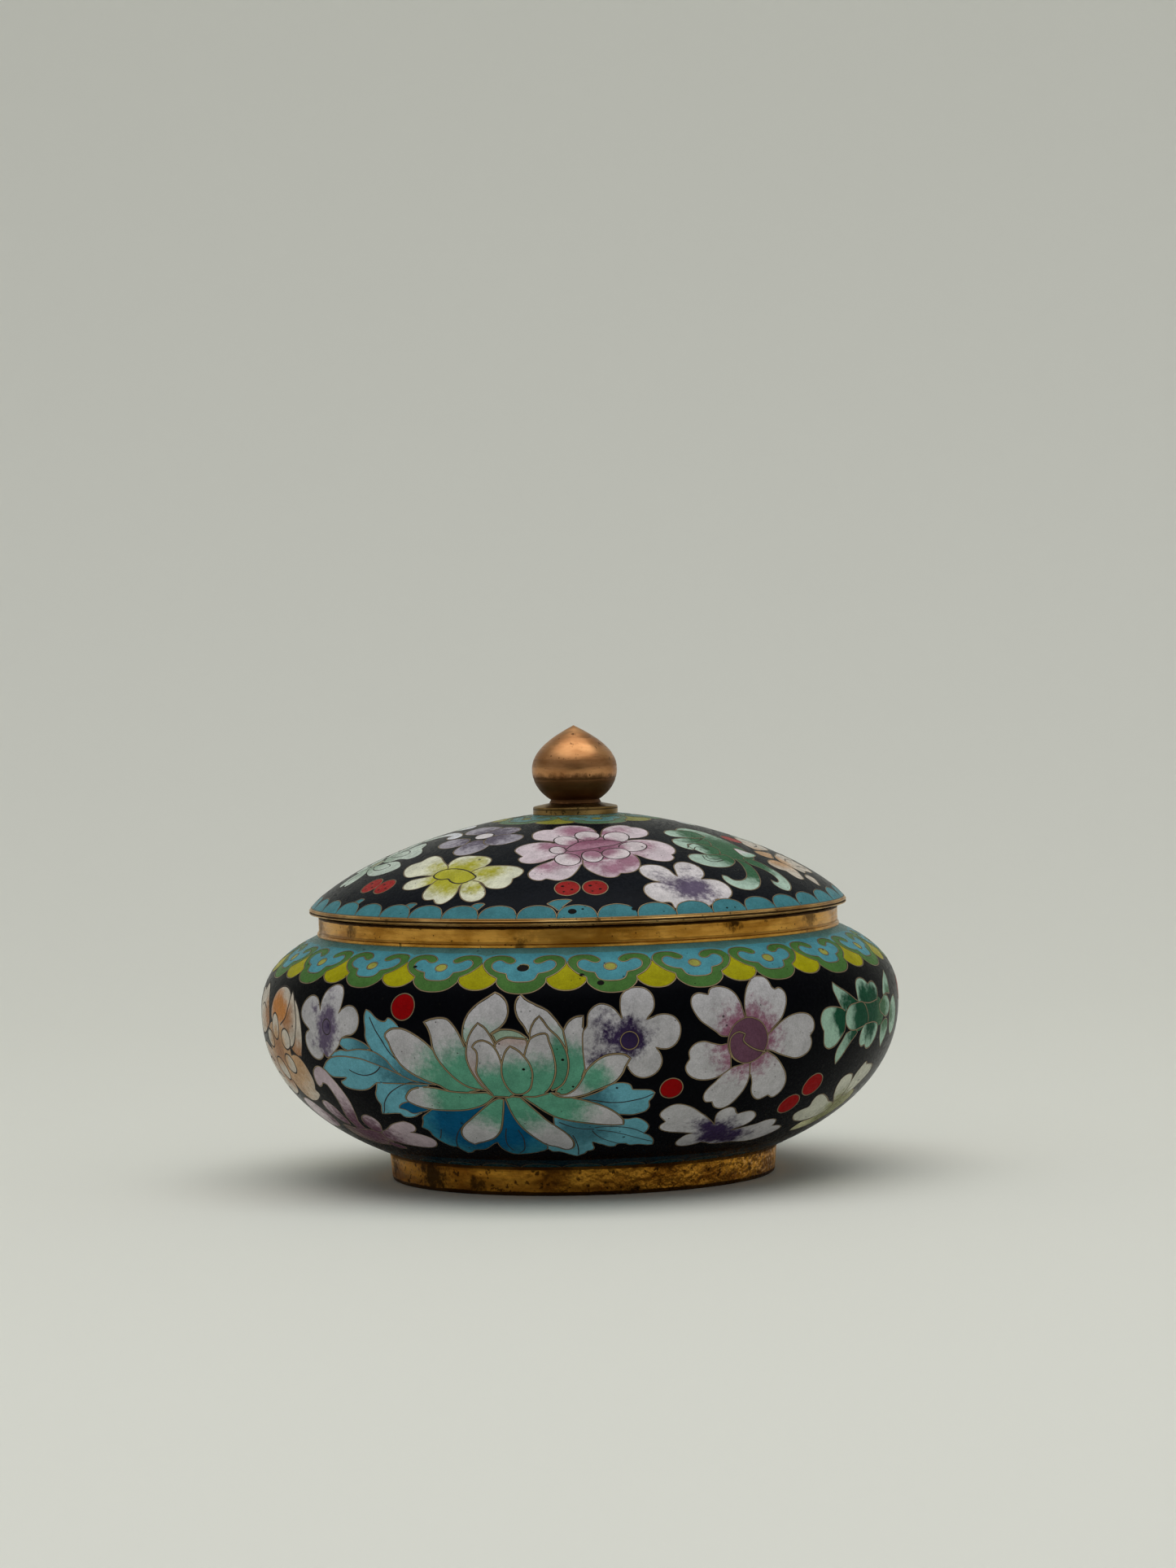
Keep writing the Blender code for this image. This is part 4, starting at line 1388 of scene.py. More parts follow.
def yellow_green_flower(draw):
    """Pale yellow-green petals with an olive heart."""
    heart = (3.6, -3.6)
    draw.cell([
        (1.5, -4), (3.2, -1.6), (6, -0.6), (10, -0.6), (12, -3), (10, -7), (6.4, -9.6), (2, -12),
        (-4, -12.6), (-4, -9.6), (0, -8),
    ], DULL_OLIVE, STRAW, around((6, -6), 2, 11))
    for petal in (
        [
            (-11.2, -5.2), (-10.2, -4.1), (-8.2, -3.2), (-8.8, -1.4), (-8.6, 0), (-7.1, 0.4),
            (-4, -0.8), (-0.8, -2.6), (1.6, -3.2), (3.4, -4.4), (2.8, -6.4), (0.8, -7.6),
            (-2, -8.5), (-5.1, -8.7), (-9, -7.6),
        ],
        [
            (-1.2, -0.4), (-2.8, 2.2), (-2.5, 4.2), (-0.7, 5), (1.6, 4.7), (3, 3.1), (3.9, 1.5),
            (4.4, -0.4), (3.8, -2.6), (2.4, -3.2), (0.4, -1.8),
        ],
        [
            (4.2, -1.6), (3.9, 1), (3.4, 3), (3.6, 4.8), (4.8, 6.4), (6.2, 7.4), (7.4, 6.6, 0),
            (9.6, 6.5), (12, 5.9), (12.8, 4.5), (11.8, 3.1), (10, 1.4), (8, -0.4), (6, -1.6),
        ],
    ):
        draw.cell(petal, DULL_OLIVE, IVORY, around(heart, -1, 7.5), grain=0.9)


def mauve_flower(draw):
    """The pink and mauve flower near the foot, at the left."""
    heart = (-1, -6)
    soft = around(heart, 3, 15)
    draw.cell([
        (-22, 2), (-18.7, 3.8), (-15.3, 3), (-12.3, 0.7), (-10.7, -1.7), (-12, -4.7), (-18, -6),
        (-22, -4),
    ], PLUM, PINK, along((-9, -3), (-19, 0)), grain=1.0)
    draw.cell([
        (-9, -4), (-4.6, -4.6), (1, -4.6), (5, -6.6), (4, -9.6), (0.4, -11.5), (-5, -11),
        (-9.5, -8.5),
    ], PLUM, TAUPE, around(heart, 1, 9))
    for petal in (
        [
            (-4.7, 8.2, 0), (-5.3, 8.7), (-5.3, 10), (-4.7, 11.7), (-3.3, 13), (-1.7, 13.5),
            (0, 13), (1.7, 11.3), (3, 9.3), (3.7, 7), (3.7, 4.7), (3, 2.7), (1.7, 0.3), (0.3, -2),
            (0, -5, 0), (-3.5, -5, 0), (-3, -1.7), (-2.3, 0.7), (-1.3, 2.7), (-0.7, 5), (-0.7, 7.3),
            (-1.3, 9), (-2.7, 9.3), (-3.3, 8.7),
        ],
        [
            (-9.3, 1.7), (-8.7, 3.5), (-7, 4.2), (-5.3, 3.5), (-4.2, 1.7), (-4.2, 0), (-4.3, -2.3),
            (-5.3, -3.7), (-7.3, -2.7), (-9, 0),
        ],
        [
            (2, -3), (2.5, -1), (4, 0.5), (6, 1), (7.5, 0), (7.7, -1.7), (6.7, -3.3), (4.7, -5.3),
            (2.7, -5),
        ],
        [
            (4.5, -5.5), (8, -3.7), (11.3, -1.7), (14, -0.7), (16.3, -0.3), (17.7, -1.3),
            (17.2, -2.8), (15.7, -4), (14.3, -4.3, 0), (16.3, -4.7), (18, -5.7), (18.5, -7),
            (17.7, -8.7), (15.7, -10.3), (13.3, -11), (10, -10.7), (6.7, -10), (4, -8.3),
        ],
    ):
        draw.cell(petal, PLUM, FADED_PINK, soft, grain=1.2)
    draw.cell([(1.3, -10.3), (3.3, -9.7), (5.7, -11.7), (4.7, -12.7), (2, -12.3)], PLUM, TAUPE)


def peony(draw):
    """The cream and orange flower at the left."""
    draw.pen = (True, 1.15)
    draw.cell([
        (-17.6, -7), (-16.8, -9.8), (-14.4, -11.8), (-11.6, -12.2), (-9.6, -11.2, 0), (-8, -12.7),
        (-5, -12.9), (0, -11), (1, -8), (-2, -3), (-8, -1), (-12.4, -0.2), (-16, -1), (-17.4, -3),
        (-16, -4.8, 0),
    ], HONEY, CREAM, smear((-1, -5, 10, -0.2), (-9, -3.6, 8, 0.25)))
    draw.cell([
        (-17.6, 7.6), (-16.4, 10.2), (-14.2, 11.8), (-12.2, 11.2, 0), (-10.8, 12.9), (-8.5, 12.3),
        (-6.4, 10.6), (-4.9, 8.5), (-4.2, 6.5), (-4.4, 4.5), (-7, 3), (-11.4, 1.6), (-15.4, 2),
        (-17.6, 4.2),
    ], HONEY, CREAM, smear((-5, 5.5, 8, -0.1), (-11, 4.6, 6, 0.35)))
    for arc in (
        [(-6.4, -8.4), (-10, -7.4), (-13.8, -8.2)], [(-8.4, -4.6), (-11.6, -3.8), (-14.4, -4.4)],
        [(-7.6, 7.4), (-10.6, 8.4), (-12.8, 7.8)],
    ):
        draw.line(arc)
    draw.cell([
        (11, 10.6, 0), (13, 9), (14.3, 6.6), (14.8, 3.6), (14.3, 1), (12.8, -1.8, 0), (10, -1.4),
        (8, 1), (10, 6),
    ], HONEY, CREAM, along((10.6, -3), (13, 6)))
    draw.cell([
        (8.6, 12.3, 0), (10, 11.2), (11.3, 9.3), (12.3, 7), (12.3, 5), (11.5, 2.5), (10.3, 0.8),
        (9, 0, 0), (5, 2), (4, 5), (6.6, 6.4), (7.9, 8.4), (8.5, 10.6),
    ], HONEY, CREAM, around((7.4, 6), 0, 6.5))
    draw.cell([
        (-2.6, 7.4), (-1.9, 9.6), (-0.3, 11.8), (2, 12.9), (4.7, 13), (6.8, 12.4), (8.3, 11.4, 0),
        (8.4, 9.4), (7.7, 7.6), (6.6, 6.1), (4, 4.7, 0), (0, 4), (-2.4, 5.6),
    ], ORANGE, CREAM, smear((1.5, 8, 6.4, -0.25), (5, 7.6, 5, -0.2)), grain=0.9)
    draw.cell([
        (7.4, -1.9), (9.5, -1.5), (11.5, -2), (13, -3.4), (13.7, -5.2), (13.8, -7), (13, -8.6),
        (11.7, -9.9, 0), (12.3, -11), (10.3, -12.4), (7.6, -13.4), (5, -13.6), (2.6, -12.4),
        (1.2, -9.6), (1, -6.4), (4, -4),
    ], PEACH, CREAM, along((6, -5), (12, -14)), grain=0.9)
    draw.cell([
        (-5, 3.4), (-1, 5), (4, 4.4), (7.4, 1.6), (7.4, -2), (5, -5), (0.4, -6), (-3.4, -5),
        (-6, -1),
    ], HONEY, PEACH, around((0.4, -1.4), 0, 8), wire=False)
    draw.cell([
        (-3.9, -3.4), (-1.5, -3), (0.6, -4), (1.3, -6), (0.6, -7.8), (-1.2, -8.5), (-3.4, -7.4),
        (-4.6, -5.4),
    ], PEACH, CREAM, along((-2, -3), (-1.4, -6.5)))
    for x, y, width, height, turn in (
        (-4.5, 1.1, 2.7, 1.9, -20), (0.4, 4, 2.3, 2.9, 0), (6.2, 1.6, 2.4, 2.3, 0),
        (5.2, -4, 2.6, 2.2, -20),
    ):
        shade = around((x * 0.5, y * 0.5 - 0.5), 0.4, 4.5)
        draw.cell(oval(x, y, width, height, turn), PEACH, CREAM, shade)


def lid_peony(draw):
    """The large pink flower in the front of the lid."""
    shade = smear(
        (-2.6, 11.4, 6.4, -0.15), (0.6, 9.6, 4.4, 0), (-9.4, 1.8, 5, 0), (-11, -8.4, 5.4, 0.1),
        (-7, -6, 5.4, 0), (7, -6.6, 6.4, -0.1), (-1, -7, 4.6, 0), (10.6, 0.3, 6, 0.1),
        (7.2, 11.2, 4.6, 0.2), (3.6, 9.2, 4, 0), (0, 0, 8, -0.2), (3, -10, 6.8, 0.02),
    )
    for petal in (
        [
            (-12, 6), (-12.4, 8.4), (-11.6, 10.8), (-9.6, 12.6), (-7.4, 13, 0), (-6, 15.2),
            (-4, 16.1), (-1.6, 15.8), (0.4, 14.4), (1.4, 12.4), (1.8, 10.4), (2, 8), (0, 5),
            (-6, 4), (-10, 5.2),
        ],
        [
            (2.6, 6.8), (2.8, 9.6), (3.6, 12.4), (5.2, 14.2), (7.2, 15), (9.2, 14.4), (10.2, 13, 0),
            (11.6, 12.4), (13.2, 10.8), (13.8, 8.8), (13.2, 6.6), (11.2, 5.4), (8.8, 5.2), (5, 4),
        ],
        [
            (-8.8, 4), (-11.2, 4.2), (-13.6, 3.4), (-16, 1.6), (-17.1, -0.6), (-16.4, -2.4),
            (-15.6, -3.6, 0), (-16.6, -4.8), (-16.2, -6.4), (-14.4, -7.1), (-12, -6.6), (-9.6, -5),
            (-6, -3), (-6, 1),
        ],
        [
            (8, 4), (10.8, 4.2), (13.6, 3.6), (16, 2), (17.8, 0), (18.6, -2.4), (18, -4.4),
            (17.2, -4.8, 0), (17.6, -6.4), (16.4, -7.8), (14.4, -7.8), (11.6, -6.6), (9.2, -4.4),
            (6, -2), (5, 2),
        ],
        [
            (-9.2, -5.6), (-12, -7.6), (-14, -9.6), (-15.1, -11.8), (-14.6, -13.8), (-12.8, -14.5),
            (-11.4, -13.8, 0), (-8.8, -14.6), (-6.4, -13.4), (-4.6, -10.8), (-3.4, -8), (-2.4, -6),
            (-3, -2), (-7, -2.5),
        ],
        [
            (-3, -7.6), (-2.4, -10), (-0.8, -12.2), (1.6, -13.8), (3.6, -13.6), (4.6, -12.2, 0),
            (6, -12.3), (8, -11.4), (9.2, -9.2), (9.2, -6), (8.4, -4), (5, -1), (-1, -1),
        ],
    ):
        draw.cell(petal, ROSE, PINK, shade, grain=0.9)
    draw.cell(oval(0, 0.5, 9, 6.5), MAUVE, ROSE, around((0, 0), 0, 9), wire=False)
    draw.pen = (True, 0.9)
    for x, y, width, height in (
        (-5.3, 5, 2.6, 2.9), (-0.4, 8, 2.7, 3.1), (5.8, 6.4, 2.9, 3.4), (-7.6, -0.4, 1.8, 2),
        (8.8, 0.4, 3.2, 2.7), (-6, -5.3, 2.8, 3), (-0.6, -4, 2.3, 3), (4.6, -3, 3.1, 2.8),
    ):
        shade = around((x * 0.5, y * 0.5), 1, 5)
        draw.cell(oval(x, y, width, height), ROSE, BLUSH_WHITE, shade)
    draw.cell([
        (-6, -0.4, 0), (-4.6, 1.8), (-3, 3.7), (-0.8, 4.9), (2.1, 5.1), (4.8, 4.4), (6.9, 3.2, 0),
        (4.5, 1.5), (1.6, 0.7), (-1.3, -0.3), (-3.5, -1), (-5.2, -1.2),
    ], MAUVE, ROSE, along((0, 4.6), (0.6, 1)), grain=0.8)


def lid_lavender(draw):
    """The lavender flower of the lid, with the pale curl and leaf at its left."""
    for petal in (
        [(1, 4), (-2.4, 6.4), (-6, 6.6), (-10, 5), (-11.4, 2.6), (-10, 0.6), (-6, 0.4), (-2, 1.4)],
        [(-3, 2), (-2.4, 5), (-0.6, 6.8), (2.4, 6.6), (4.4, 4.6), (4, 2), (1.6, 0.6)],
        [(-4, -2.4), (-8, -2.2), (-11, -3.8), (-11.4, -6.4), (-9, -8), (-5.4, -7.6), (-3, -5.4)],
        [(-1.6, -2.6), (-3, -6), (-2.6, -9.4), (0, -11.2), (3, -10.6), (4.6, -7.6), (3.4, -4)],
        [
            (0.4, -1), (2.4, 1.2), (5.4, 1.7), (8.4, 0.4), (9.2, -2.2), (7.6, -4.8), (4.4, -5.4),
            (1.6, -4),
        ],
    ):
        draw.cell(petal, LAVENDER, GREY_LILAC, around((-1, -0.5), 2.5, 10.5), grain=2.0)
    draw.pen = (True, 0.9)
    draw.cell(oval(-1.8, 0, 2.4, 2), LIT_LID_WHITE)
    draw.pen = (False, 1)
    draw.cell([
        (-28, -5.4), (-23.5, -2.4), (-19, 0.2), (-14.6, 1.1), (-11.6, 0.8), (-9.6, -0.5),
        (-9.8, -2), (-11.4, -3), (-13.6, -3), (-14.6, -2, 0), (-14.2, -1.2), (-17.2, -1.9),
        (-21, -4), (-23.6, -5.8), (-26.4, -6.6),
    ], CELADON, SILVER, along((-25, -4), (-14, 0)))
    draw.cell([
        (-23.8, 1.4), (-20.6, 1.4), (-16.6, 2.8), (-14, 4.8), (-15.6, 6), (-19.4, 5.6),
        (-22.6, 3.8),
    ], CELADON, SILVER, along((-23, 2), (-16, 4)))


def lid_yellow_green(draw):
    """The pale yellow flower of the lid, with an olive heart."""
    yellow = smear(
        (-1, 0.5, 10, -0.35), (1, 6, 6, 0.1), (7, 2.5, 6.4, 0.05), (7, -4, 4.4, 0.1),
        (1.6, -4.6, 4.6, 0.05), (-8, 4.4, 5, 0.25),
    )
    for petal in (
        [
            (-5.4, 6.6), (-4.7, 8.7), (-2.9, 9.6), (-0.4, 9.7), (2.1, 9.4), (4.2, 8.2), (4.9, 6.2),
            (4.2, 4), (2, 1), (-3.3, 1), (-5.1, 5),
        ],
        [
            (-17.2, 2.6), (-16.9, 4.4), (-14.7, 6.2), (-14, 8), (-12.6, 9.1), (-10.1, 8.7),
            (-7.6, 6.75), (-4.4, 4), (-4, 1), (-9.7, 0.15), (-13.3, -0.75), (-15.8, 0.5),
        ],
        [
            (-12.2, -3.4), (-11.5, -2), (-9, -0.75), (-4.6, 0.4), (-3.4, -1.4), (-5.4, -3.4),
            (-7.6, -4.9), (-10.1, -5.4), (-11.7, -4.9),
        ],
        [
            (-3.4, -0.6), (-4.7, -4.5), (-4.5, -7), (-2.9, -8.6), (-0.8, -8.4, 0), (0.6, -9.7),
            (2.25, -9.7), (3.5, -8.1), (3.7, -5.9), (3.2, -3.8), (2.4, -0.8),
        ],
        [
            (3, -1), (3.5, -3.8), (4.6, -6.3), (6.4, -8.25), (8.5, -9), (10.3, -8.4), (10.8, -7),
            (9.6, -4.5), (7.4, -2.4), (5.6, -0.9),
        ],
        [
            (2.4, 1.6), (4.4, 4.4), (5.6, 4.9), (9.2, 5.1), (12.4, 4.4), (14.6, 2.6), (14.75, 0.5),
            (13.9, -0.6, 0), (14.4, -2.4), (13.9, -4), (12.1, -4.5), (9.9, -4), (7.4, -2),
            (4, -0.8),
        ],
    ):
        draw.cell(petal, OLIVE, LEMON, yellow, grain=1)
    draw.pen = (True, 1.2)
    draw.cell([
        (-6.1, 0.9), (-5.4, 2.5), (-3.3, 3.4), (-0.8, 3.4), (1.7, 2.6), (3.9, 1.2), (5.1, 0),
        (4.6, -1.1), (3.5, -2.2), (1.7, -2.5), (-0.1, -1.8), (-1.5, -0.75), (-2.9, -1.1),
        (-4.7, -0.75), (-5.8, 0),
    ], OLIVE, STRAW, along((0, 0), (0, 12)))


def lid_celadon(draw):
    """The pale green flower at the left of the lid."""
    heart = (-6, -1)
    draw.pen = (True, 1)
    for petal in (
        [
            (-9, 0.6), (-11.6, 2.2), (-14, 2), (-15.6, 0.4), (-15.4, -1.6, 0), (-16.2, -3),
            (-15, -5), (-12.4, -5.6), (-9.6, -4.8), (-8, -2.6),
        ],
        [
            (-8, 2), (-7.2, 5), (-7.4, 8), (-8.8, 10, 0), (-10, 11.2), (-12.4, 11), (-14.4, 9),
            (-14.8, 6.2), (-13.4, 3.8), (-11, 2),
        ],
        [
            (-8, -2.6), (-9.8, -5.2), (-10.2, -8), (-8.8, -10.2), (-6.8, -10.6), (-5.8, -9.4, 0),
            (-4, -10.2), (-2.6, -8.8), (-2.4, -6.4), (-3.6, -4.2), (-5, -2.4),
        ],
        [
            (-7.6, 1), (-5, 0.2), (-1.5, 0.7), (1.1, 2.3), (3.4, 2.7), (5.2, 2.8), (6.3, 4.1),
            (5.6, 6), (3, 7.6), (0.8, 8.4), (-1.4, 10.2), (-4.2, 10.8), (-6.4, 9.4), (-6.4, 6),
            (-7.8, 3.4),
        ],
        [
            (-6.8, -2.4), (-5, -1.2), (-3, -0.4), (0.2, 1.3), (3, 1.6), (5.5, 1), (8.2, -0.7),
            (8.2, -2), (6.6, -3.9), (4.4, -5), (1.4, -5.3), (-1.4, -4.9), (-4.4, -4),
        ],
    ):
        draw.cell(petal, SAGE, CELADON, around(heart, 1, 9), grain=0.9)
    for arc in (
        [(-5.3, -1.8), (-3.4, -2.6), (-0.4, -2.9), (2.4, -2.2), (3.2, -0.9), (1.8, -0.1), (0, 0)],
        [(-6, 2.6), (-2.8, 3.2), (0, 4.3), (-0.4, 5.6), (-3.4, 6.5), (-5.6, 6)],
        [(-9.6, -2), (-12, -2.6), (-13.6, -1.6)], [(-9, 4.6), (-11, 5.6), (-12, 7.6)],
        [(-6.8, -4.8), (-7.6, -6.6), (-7, -8.4)],
    ):
        draw.line(arc)
    draw.cell(oval(-7.4, -0.6, 2.2, 1.8), DULL_OLIVE, CELADON, around((-7.4, -0.6), 0, 3))


def lid_plum(draw):
    """The white flower of the lid, with a purple heart."""
    draw.cell([
        (-0.8, 3.4, 0), (-0.3, 5.5), (0.5, 8), (2.2, 9.4), (4, 9.3), (5.8, 7.8), (6.4, 5.6),
        (5.8, 3.4), (4.2, 1.9, 0), (6, 1.8), (8.2, 1), (9.6, -1), (9.7, -3), (8.6, -4.7),
        (6.5, -5.5), (4.6, -5.3), (2.4, -7), (0, -7.5), (-3, -7), (-6, -7.4), (-6.3, -5.6),
        (-8.6, -5.3), (-10.3, -3.6), (-10.6, -1.6), (-9.6, 0.4), (-7.6, 1.5), (-5.6, 1.6, 0),
        (-7.2, 2.6), (-8.2, 4.6), (-8, 6.8), (-6.6, 8.6), (-4.6, 9), (-2.6, 8.3), (-1.4, 6.3),
        (-1.2, 4.6),
    ], LILAC, LIT_LID_WHITE, smear(
        (0, -1, 6.6, -0.25), (2.6, -0.6, 5, -0.1), (-3.6, 1, 5, 0.15), (4, -3.6, 5, 0.25),
        (-5, 5, 3.4, 0.45), (3, 6, 3.4, 0.45), (0, -5, 4, 0.35),
    ), grain=1.4)


def lid_chrysanthemum(draw):
    """The green flower at the right of the lid, with two curls below it."""
    pale, deep = PALE_MINT, JADE
    draw.cell([
        (2, -4), (8, -4), (10.5, 0), (11, 6), (10, 12), (6, 15.6), (2, 14.6), (0, 8), (0, 0),
    ], deep, pale, along((4, 4), (14, 16)))

    def petal(fade, points):
        draw.cell(points, deep, pale, fade, grain=0.9)

    petal(along((0, -8), (-6, -15)), [
        (2, -2.9), (1.3, -5), (0.2, -7.1), (-1.6, -9.6), (-3.7, -11.1), (-5.9, -11.6),
        (-7.3, -11.1), (-7.6, -9.6), (-8.5, -9.1, 0), (-9.4, -10.4), (-9.6, -12.5), (-8.4, -14.3),
        (-5.9, -15.2), (-3, -14.6), (-0.5, -12.9), (1.6, -10.4), (3.1, -7.5), (3.4, -5),
    ])
    petal(along((5, -6), (9, -15)), [
        (4.9, -2.9), (4.1, -5.7), (5.2, -7.1), (6.3, -9.3), (6.6, -11.4), (5.9, -13), (4.7, -13.4),
        (3.8, -12.3, 0), (3.1, -13.9), (3.8, -15.7), (5.6, -16.6), (7.7, -15.7), (9.3, -13.6),
        (9.7, -10.7), (9.1, -7.9), (8.1, -5),
    ])
    petal(along((3, 11), (-3, 13)), [
        (-3.4, 11.4), (-3.2, 13.2), (-1.9, 14.5), (0, 15), (2, 14.6), (6, 13), (6, 9), (-2.3, 10.4),
    ])
    petal(along((1, 6), (-6, 7)), [
        (-6.9, 5.7), (-6.2, 7.9), (-4.8, 9.3), (-3, 9.6), (0, 9.4), (4, 7), (0, 3), (-5.9, 3.2),
    ])
    petal(along((0, 3), (-4, 4.6)), [
        (-4.8, 3.6), (-4.4, 5.4), (-3.4, 6.1), (-1, 5.8), (2, 3), (0, 0), (-3.7, 0),
    ])
    petal(along((0, -1), (-8, -3.4)), [
        (-10.3, -2.1), (-9.4, 0), (-7.3, 0.9), (-5.5, 0.5), (-3.7, 0), (1, -1), (0.9, -3.6),
        (-0.9, -5), (-3.7, -6), (-7.3, -5.7), (-9.4, -4.3),
    ])
    for arc in (
        [(-5.6, 4.1), (-3.9, 5.5), (-1.7, 6), (-1, 4.7), (-0.6, 2.6)],
        [(-4.6, 3.2), (-3.2, 4.2), (-1.8, 3.8), (-1.2, 2)],
        [(-5.2, 9), (-3, 7.2), (0.5, 7.2), (4.3, 8.6)],
        [(-5.6, -0.2), (-6.5, -2.2), (-5.5, -3.3), (-2.1, -3)],
        [(-4.6, -0.2), (-5.2, -1.6), (-4.4, -2.3), (-1.6, -2.2)],
    ):
        draw.line(arc)
    draw.cell([
        (7.7, 1.8), (6.3, -1.1), (6.3, -2.5), (9.1, -3), (11.5, -2.3), (10.2, -0.4), (8.6, 1.4),
    ], MINT, LIT_LID_WHITE, along((8, -3), (8, 1)))


def lid_peach(draw):
    """The peach-coloured flower at the right end of the lid."""
    heart = (-1.5, -1)
    for petal in (
        [
            (-0.15, -3.4), (2, -1.3), (6.3, -0.6), (9.6, -0.5), (12, -1.8), (12.6, -3.8),
            (11.2, -5.2, 0), (11.8, -7), (10.4, -9), (7.6, -9.4), (4.9, -8.4), (2, -8.8),
        ],
        [
            (-7.6, -5.6), (-7.6, -3.8), (-6.2, -2.5), (-3.7, -2), (-1.6, -2.7), (0, -5),
            (-0.15, -7), (-1.9, -9.1), (-3.7, -10.6), (-5.9, -10.2), (-6.2, -8.4), (-5.9, -7, 0),
        ],
        [(-1.2, -11.3), (-0.9, -9.9), (2, -9.5), (3, -11), (1, -13), (-0.15, -13.6)],
        [
            (-2.6, 2.3), (-3.4, 0.9), (-2.6, -0.9), (-0.9, -1.8), (1.3, -0.9), (3.4, 0.15),
            (0.6, 1.9),
        ],
        [
            (0, 3), (3.5, 2), (7.6, 1.4), (11, 2), (12.8, 4), (12.2, 6.4), (10.2, 7.2, 0), (8.8, 9),
            (5.8, 9.2), (3, 7.6), (0.4, 5.4),
        ],
    ):
        draw.cell(petal, PEACH, CREAM, around(heart, 2, 9))
    for arc in (
        [(3.4, -3.6), (6.6, -3), (9.6, -4.2)], [(4.6, -6.2), (7.4, -6.6), (9.2, -7.8)],
        [(3, 4), (6.4, 4), (9.4, 5.2)],
    ):
        draw.line(arc)


def sprig(draw):
    """A bud between two leaves, where the flowers leave a space."""
    leaf = [
        (0.4, -6.4, 0), (3.2, -5.2), (5.2, -2.6), (5.4, 0.6), (4.4, 2.8, 0), (2.4, 0.8), (1, -2.4),
    ]
    draw.cell(leaf, DEEP_GREEN, LEAF, along((0, -5), (5, 2)))
    draw.cell(flip(leaf), DEEP_GREEN, LEAF, along((0, -5), (-5, 2)))
    draw.cell(oval(0, 3.4, 2.5, 3.2), ROSE, PINK, around((0, 1.6), 0, 5))


def scars(draw, *places):
    """Larger flaws at their own places: azimuth, distance and width."""
    for azimuth, distance, width in places:
        draw.place(azimuth, distance)
        flaws(draw, (0, 0, width))


def paint_bowl(draw):
    """The flowers, leaves and borders of the bowl: one set in front and its twin behind."""
    arc = [(-4.4, 0, 0), (-4, 1.2), (-2.4, 2.5), (0, 3), (2.4, 2.5), (4, 1.2), (4.4, 0, 0)]
    # Teal arcs round the foot, darkened with painted shade under the belly
    for k in range(FOOT_ARCS):
        draw.place(360 / FOOT_ARCS * k, draw.skin.end - ARC_INSET)
        draw.cell(arc, SHADED_FOOT_TEAL)
    for turn in (0, 180):
        for azimuth, distance, paint in (
            (-70, 28, peony), (-53, 45, mauve_flower), (60, 42, yellow_green_flower),
            (92, 43, sprig), (60, 25, green_flower), (-38, 33, lotus_leaves),
            (31, 50, lower_flower), (6, 46, lower_leaves), (30.5, 27, great_flower),
            (-50, 23, left_flower), (-14, 36, lotus_leaf), (-14, 36, lotus), (8, 24, plum),
            (-14, 36, lotus_overlap),
        ):
            draw.place(turn + azimuth, distance)
            paint(draw)
        dots(
            draw, turn, RED, (-32, 17.5, 5.8), (16.3, 36, 5), (48.3, 38.3, 5.8),
            (44.5, 43.3, 5.6), (85, 20, 5.6), (91, 22, 5.6),
        )
    tones = (TURQUOISE, BORDER_GREEN, YELLOW, EYE_YELLOW)
    clouds(draw, CLOUD_HEADS, 6, 0, 1, None, tones, squash=0.065)
    scars(draw, (-10.4, 7.7, 2.6), (-32.5, 7.5, 1.1), (3.9, 12.2, 1.6), (0.6, 10, 1.2))


def paint_lid(draw):
    """The flowers of the lid, with scallops round its edge and clouds round the knob."""
    for turn in (0, 180):
        for azimuth, distance, paint in (
            (-70, 45, lid_celadon), (72, 45, lid_peach), (-42, 28, lid_lavender),
            (49, 42, lid_chrysanthemum), (-33, 49, lid_yellow_green), (27, 54, lid_plum),
            (6, 36, lid_peony),
        ):
            draw.place(turn + azimuth, distance)
            paint(draw)
        for azimuth in (-59.5, -53.5, -2.2, 4.4):
            dots(draw, turn, LID_RED, (azimuth, 53.5, 5.4))
            flaws(draw, (-1, 0.7, 0.9), (1, -0.6, 0.8), (0.3, 1.6, 0.6), (-0.7, -1.3, 0.7))
        dots(draw, turn, LID_RED, (74, 36, 5))
    for azimuth, distance, width in (
        (-3.8, 58.8, 2.6), (-39, 60, 1.6), (-57, 59.4, 1.5), (-22, 59.8, 1.6),
    ):
        draw.place(azimuth, distance)
        draw.cell([
            (-width, 0, 0), (-width * 0.4, 1.1), (width * 0.7, 1.3), (width, 1, 0),
            (width * 0.3, -1), (0, -2.2), (-width * 0.4, -1.2),
        ], SCALLOP)
    scallop = [
        (-4.2, 0, 0), (-4.05, 1.2), (-2.9, 2.9), (0, 3.75), (2.9, 2.9), (4.05, 1.2), (4.2, 0, 0),
    ]
    for k in range(LID_SCALLOPS):
        draw.place(360 / LID_SCALLOPS * k, draw.skin.end - ARC_INSET)
        draw.pen = (False, 0.85)
        draw.cell(scallop, SCALLOP)
    scars(
        draw, (-1, 61.2, 1.9), (1.2, 60.6, 0.7), (12, 61, 1.2), (33, 62, 0.7), (35, 62, 0.6),
    )
    tones = (SHADED_TURQUOISE, KNOB_GREEN, DULL_YELLOW, DULL_YELLOW)
    clouds(draw, KNOB_CLOUDS, 20, 7.5, 0.8, 11.4, tones)


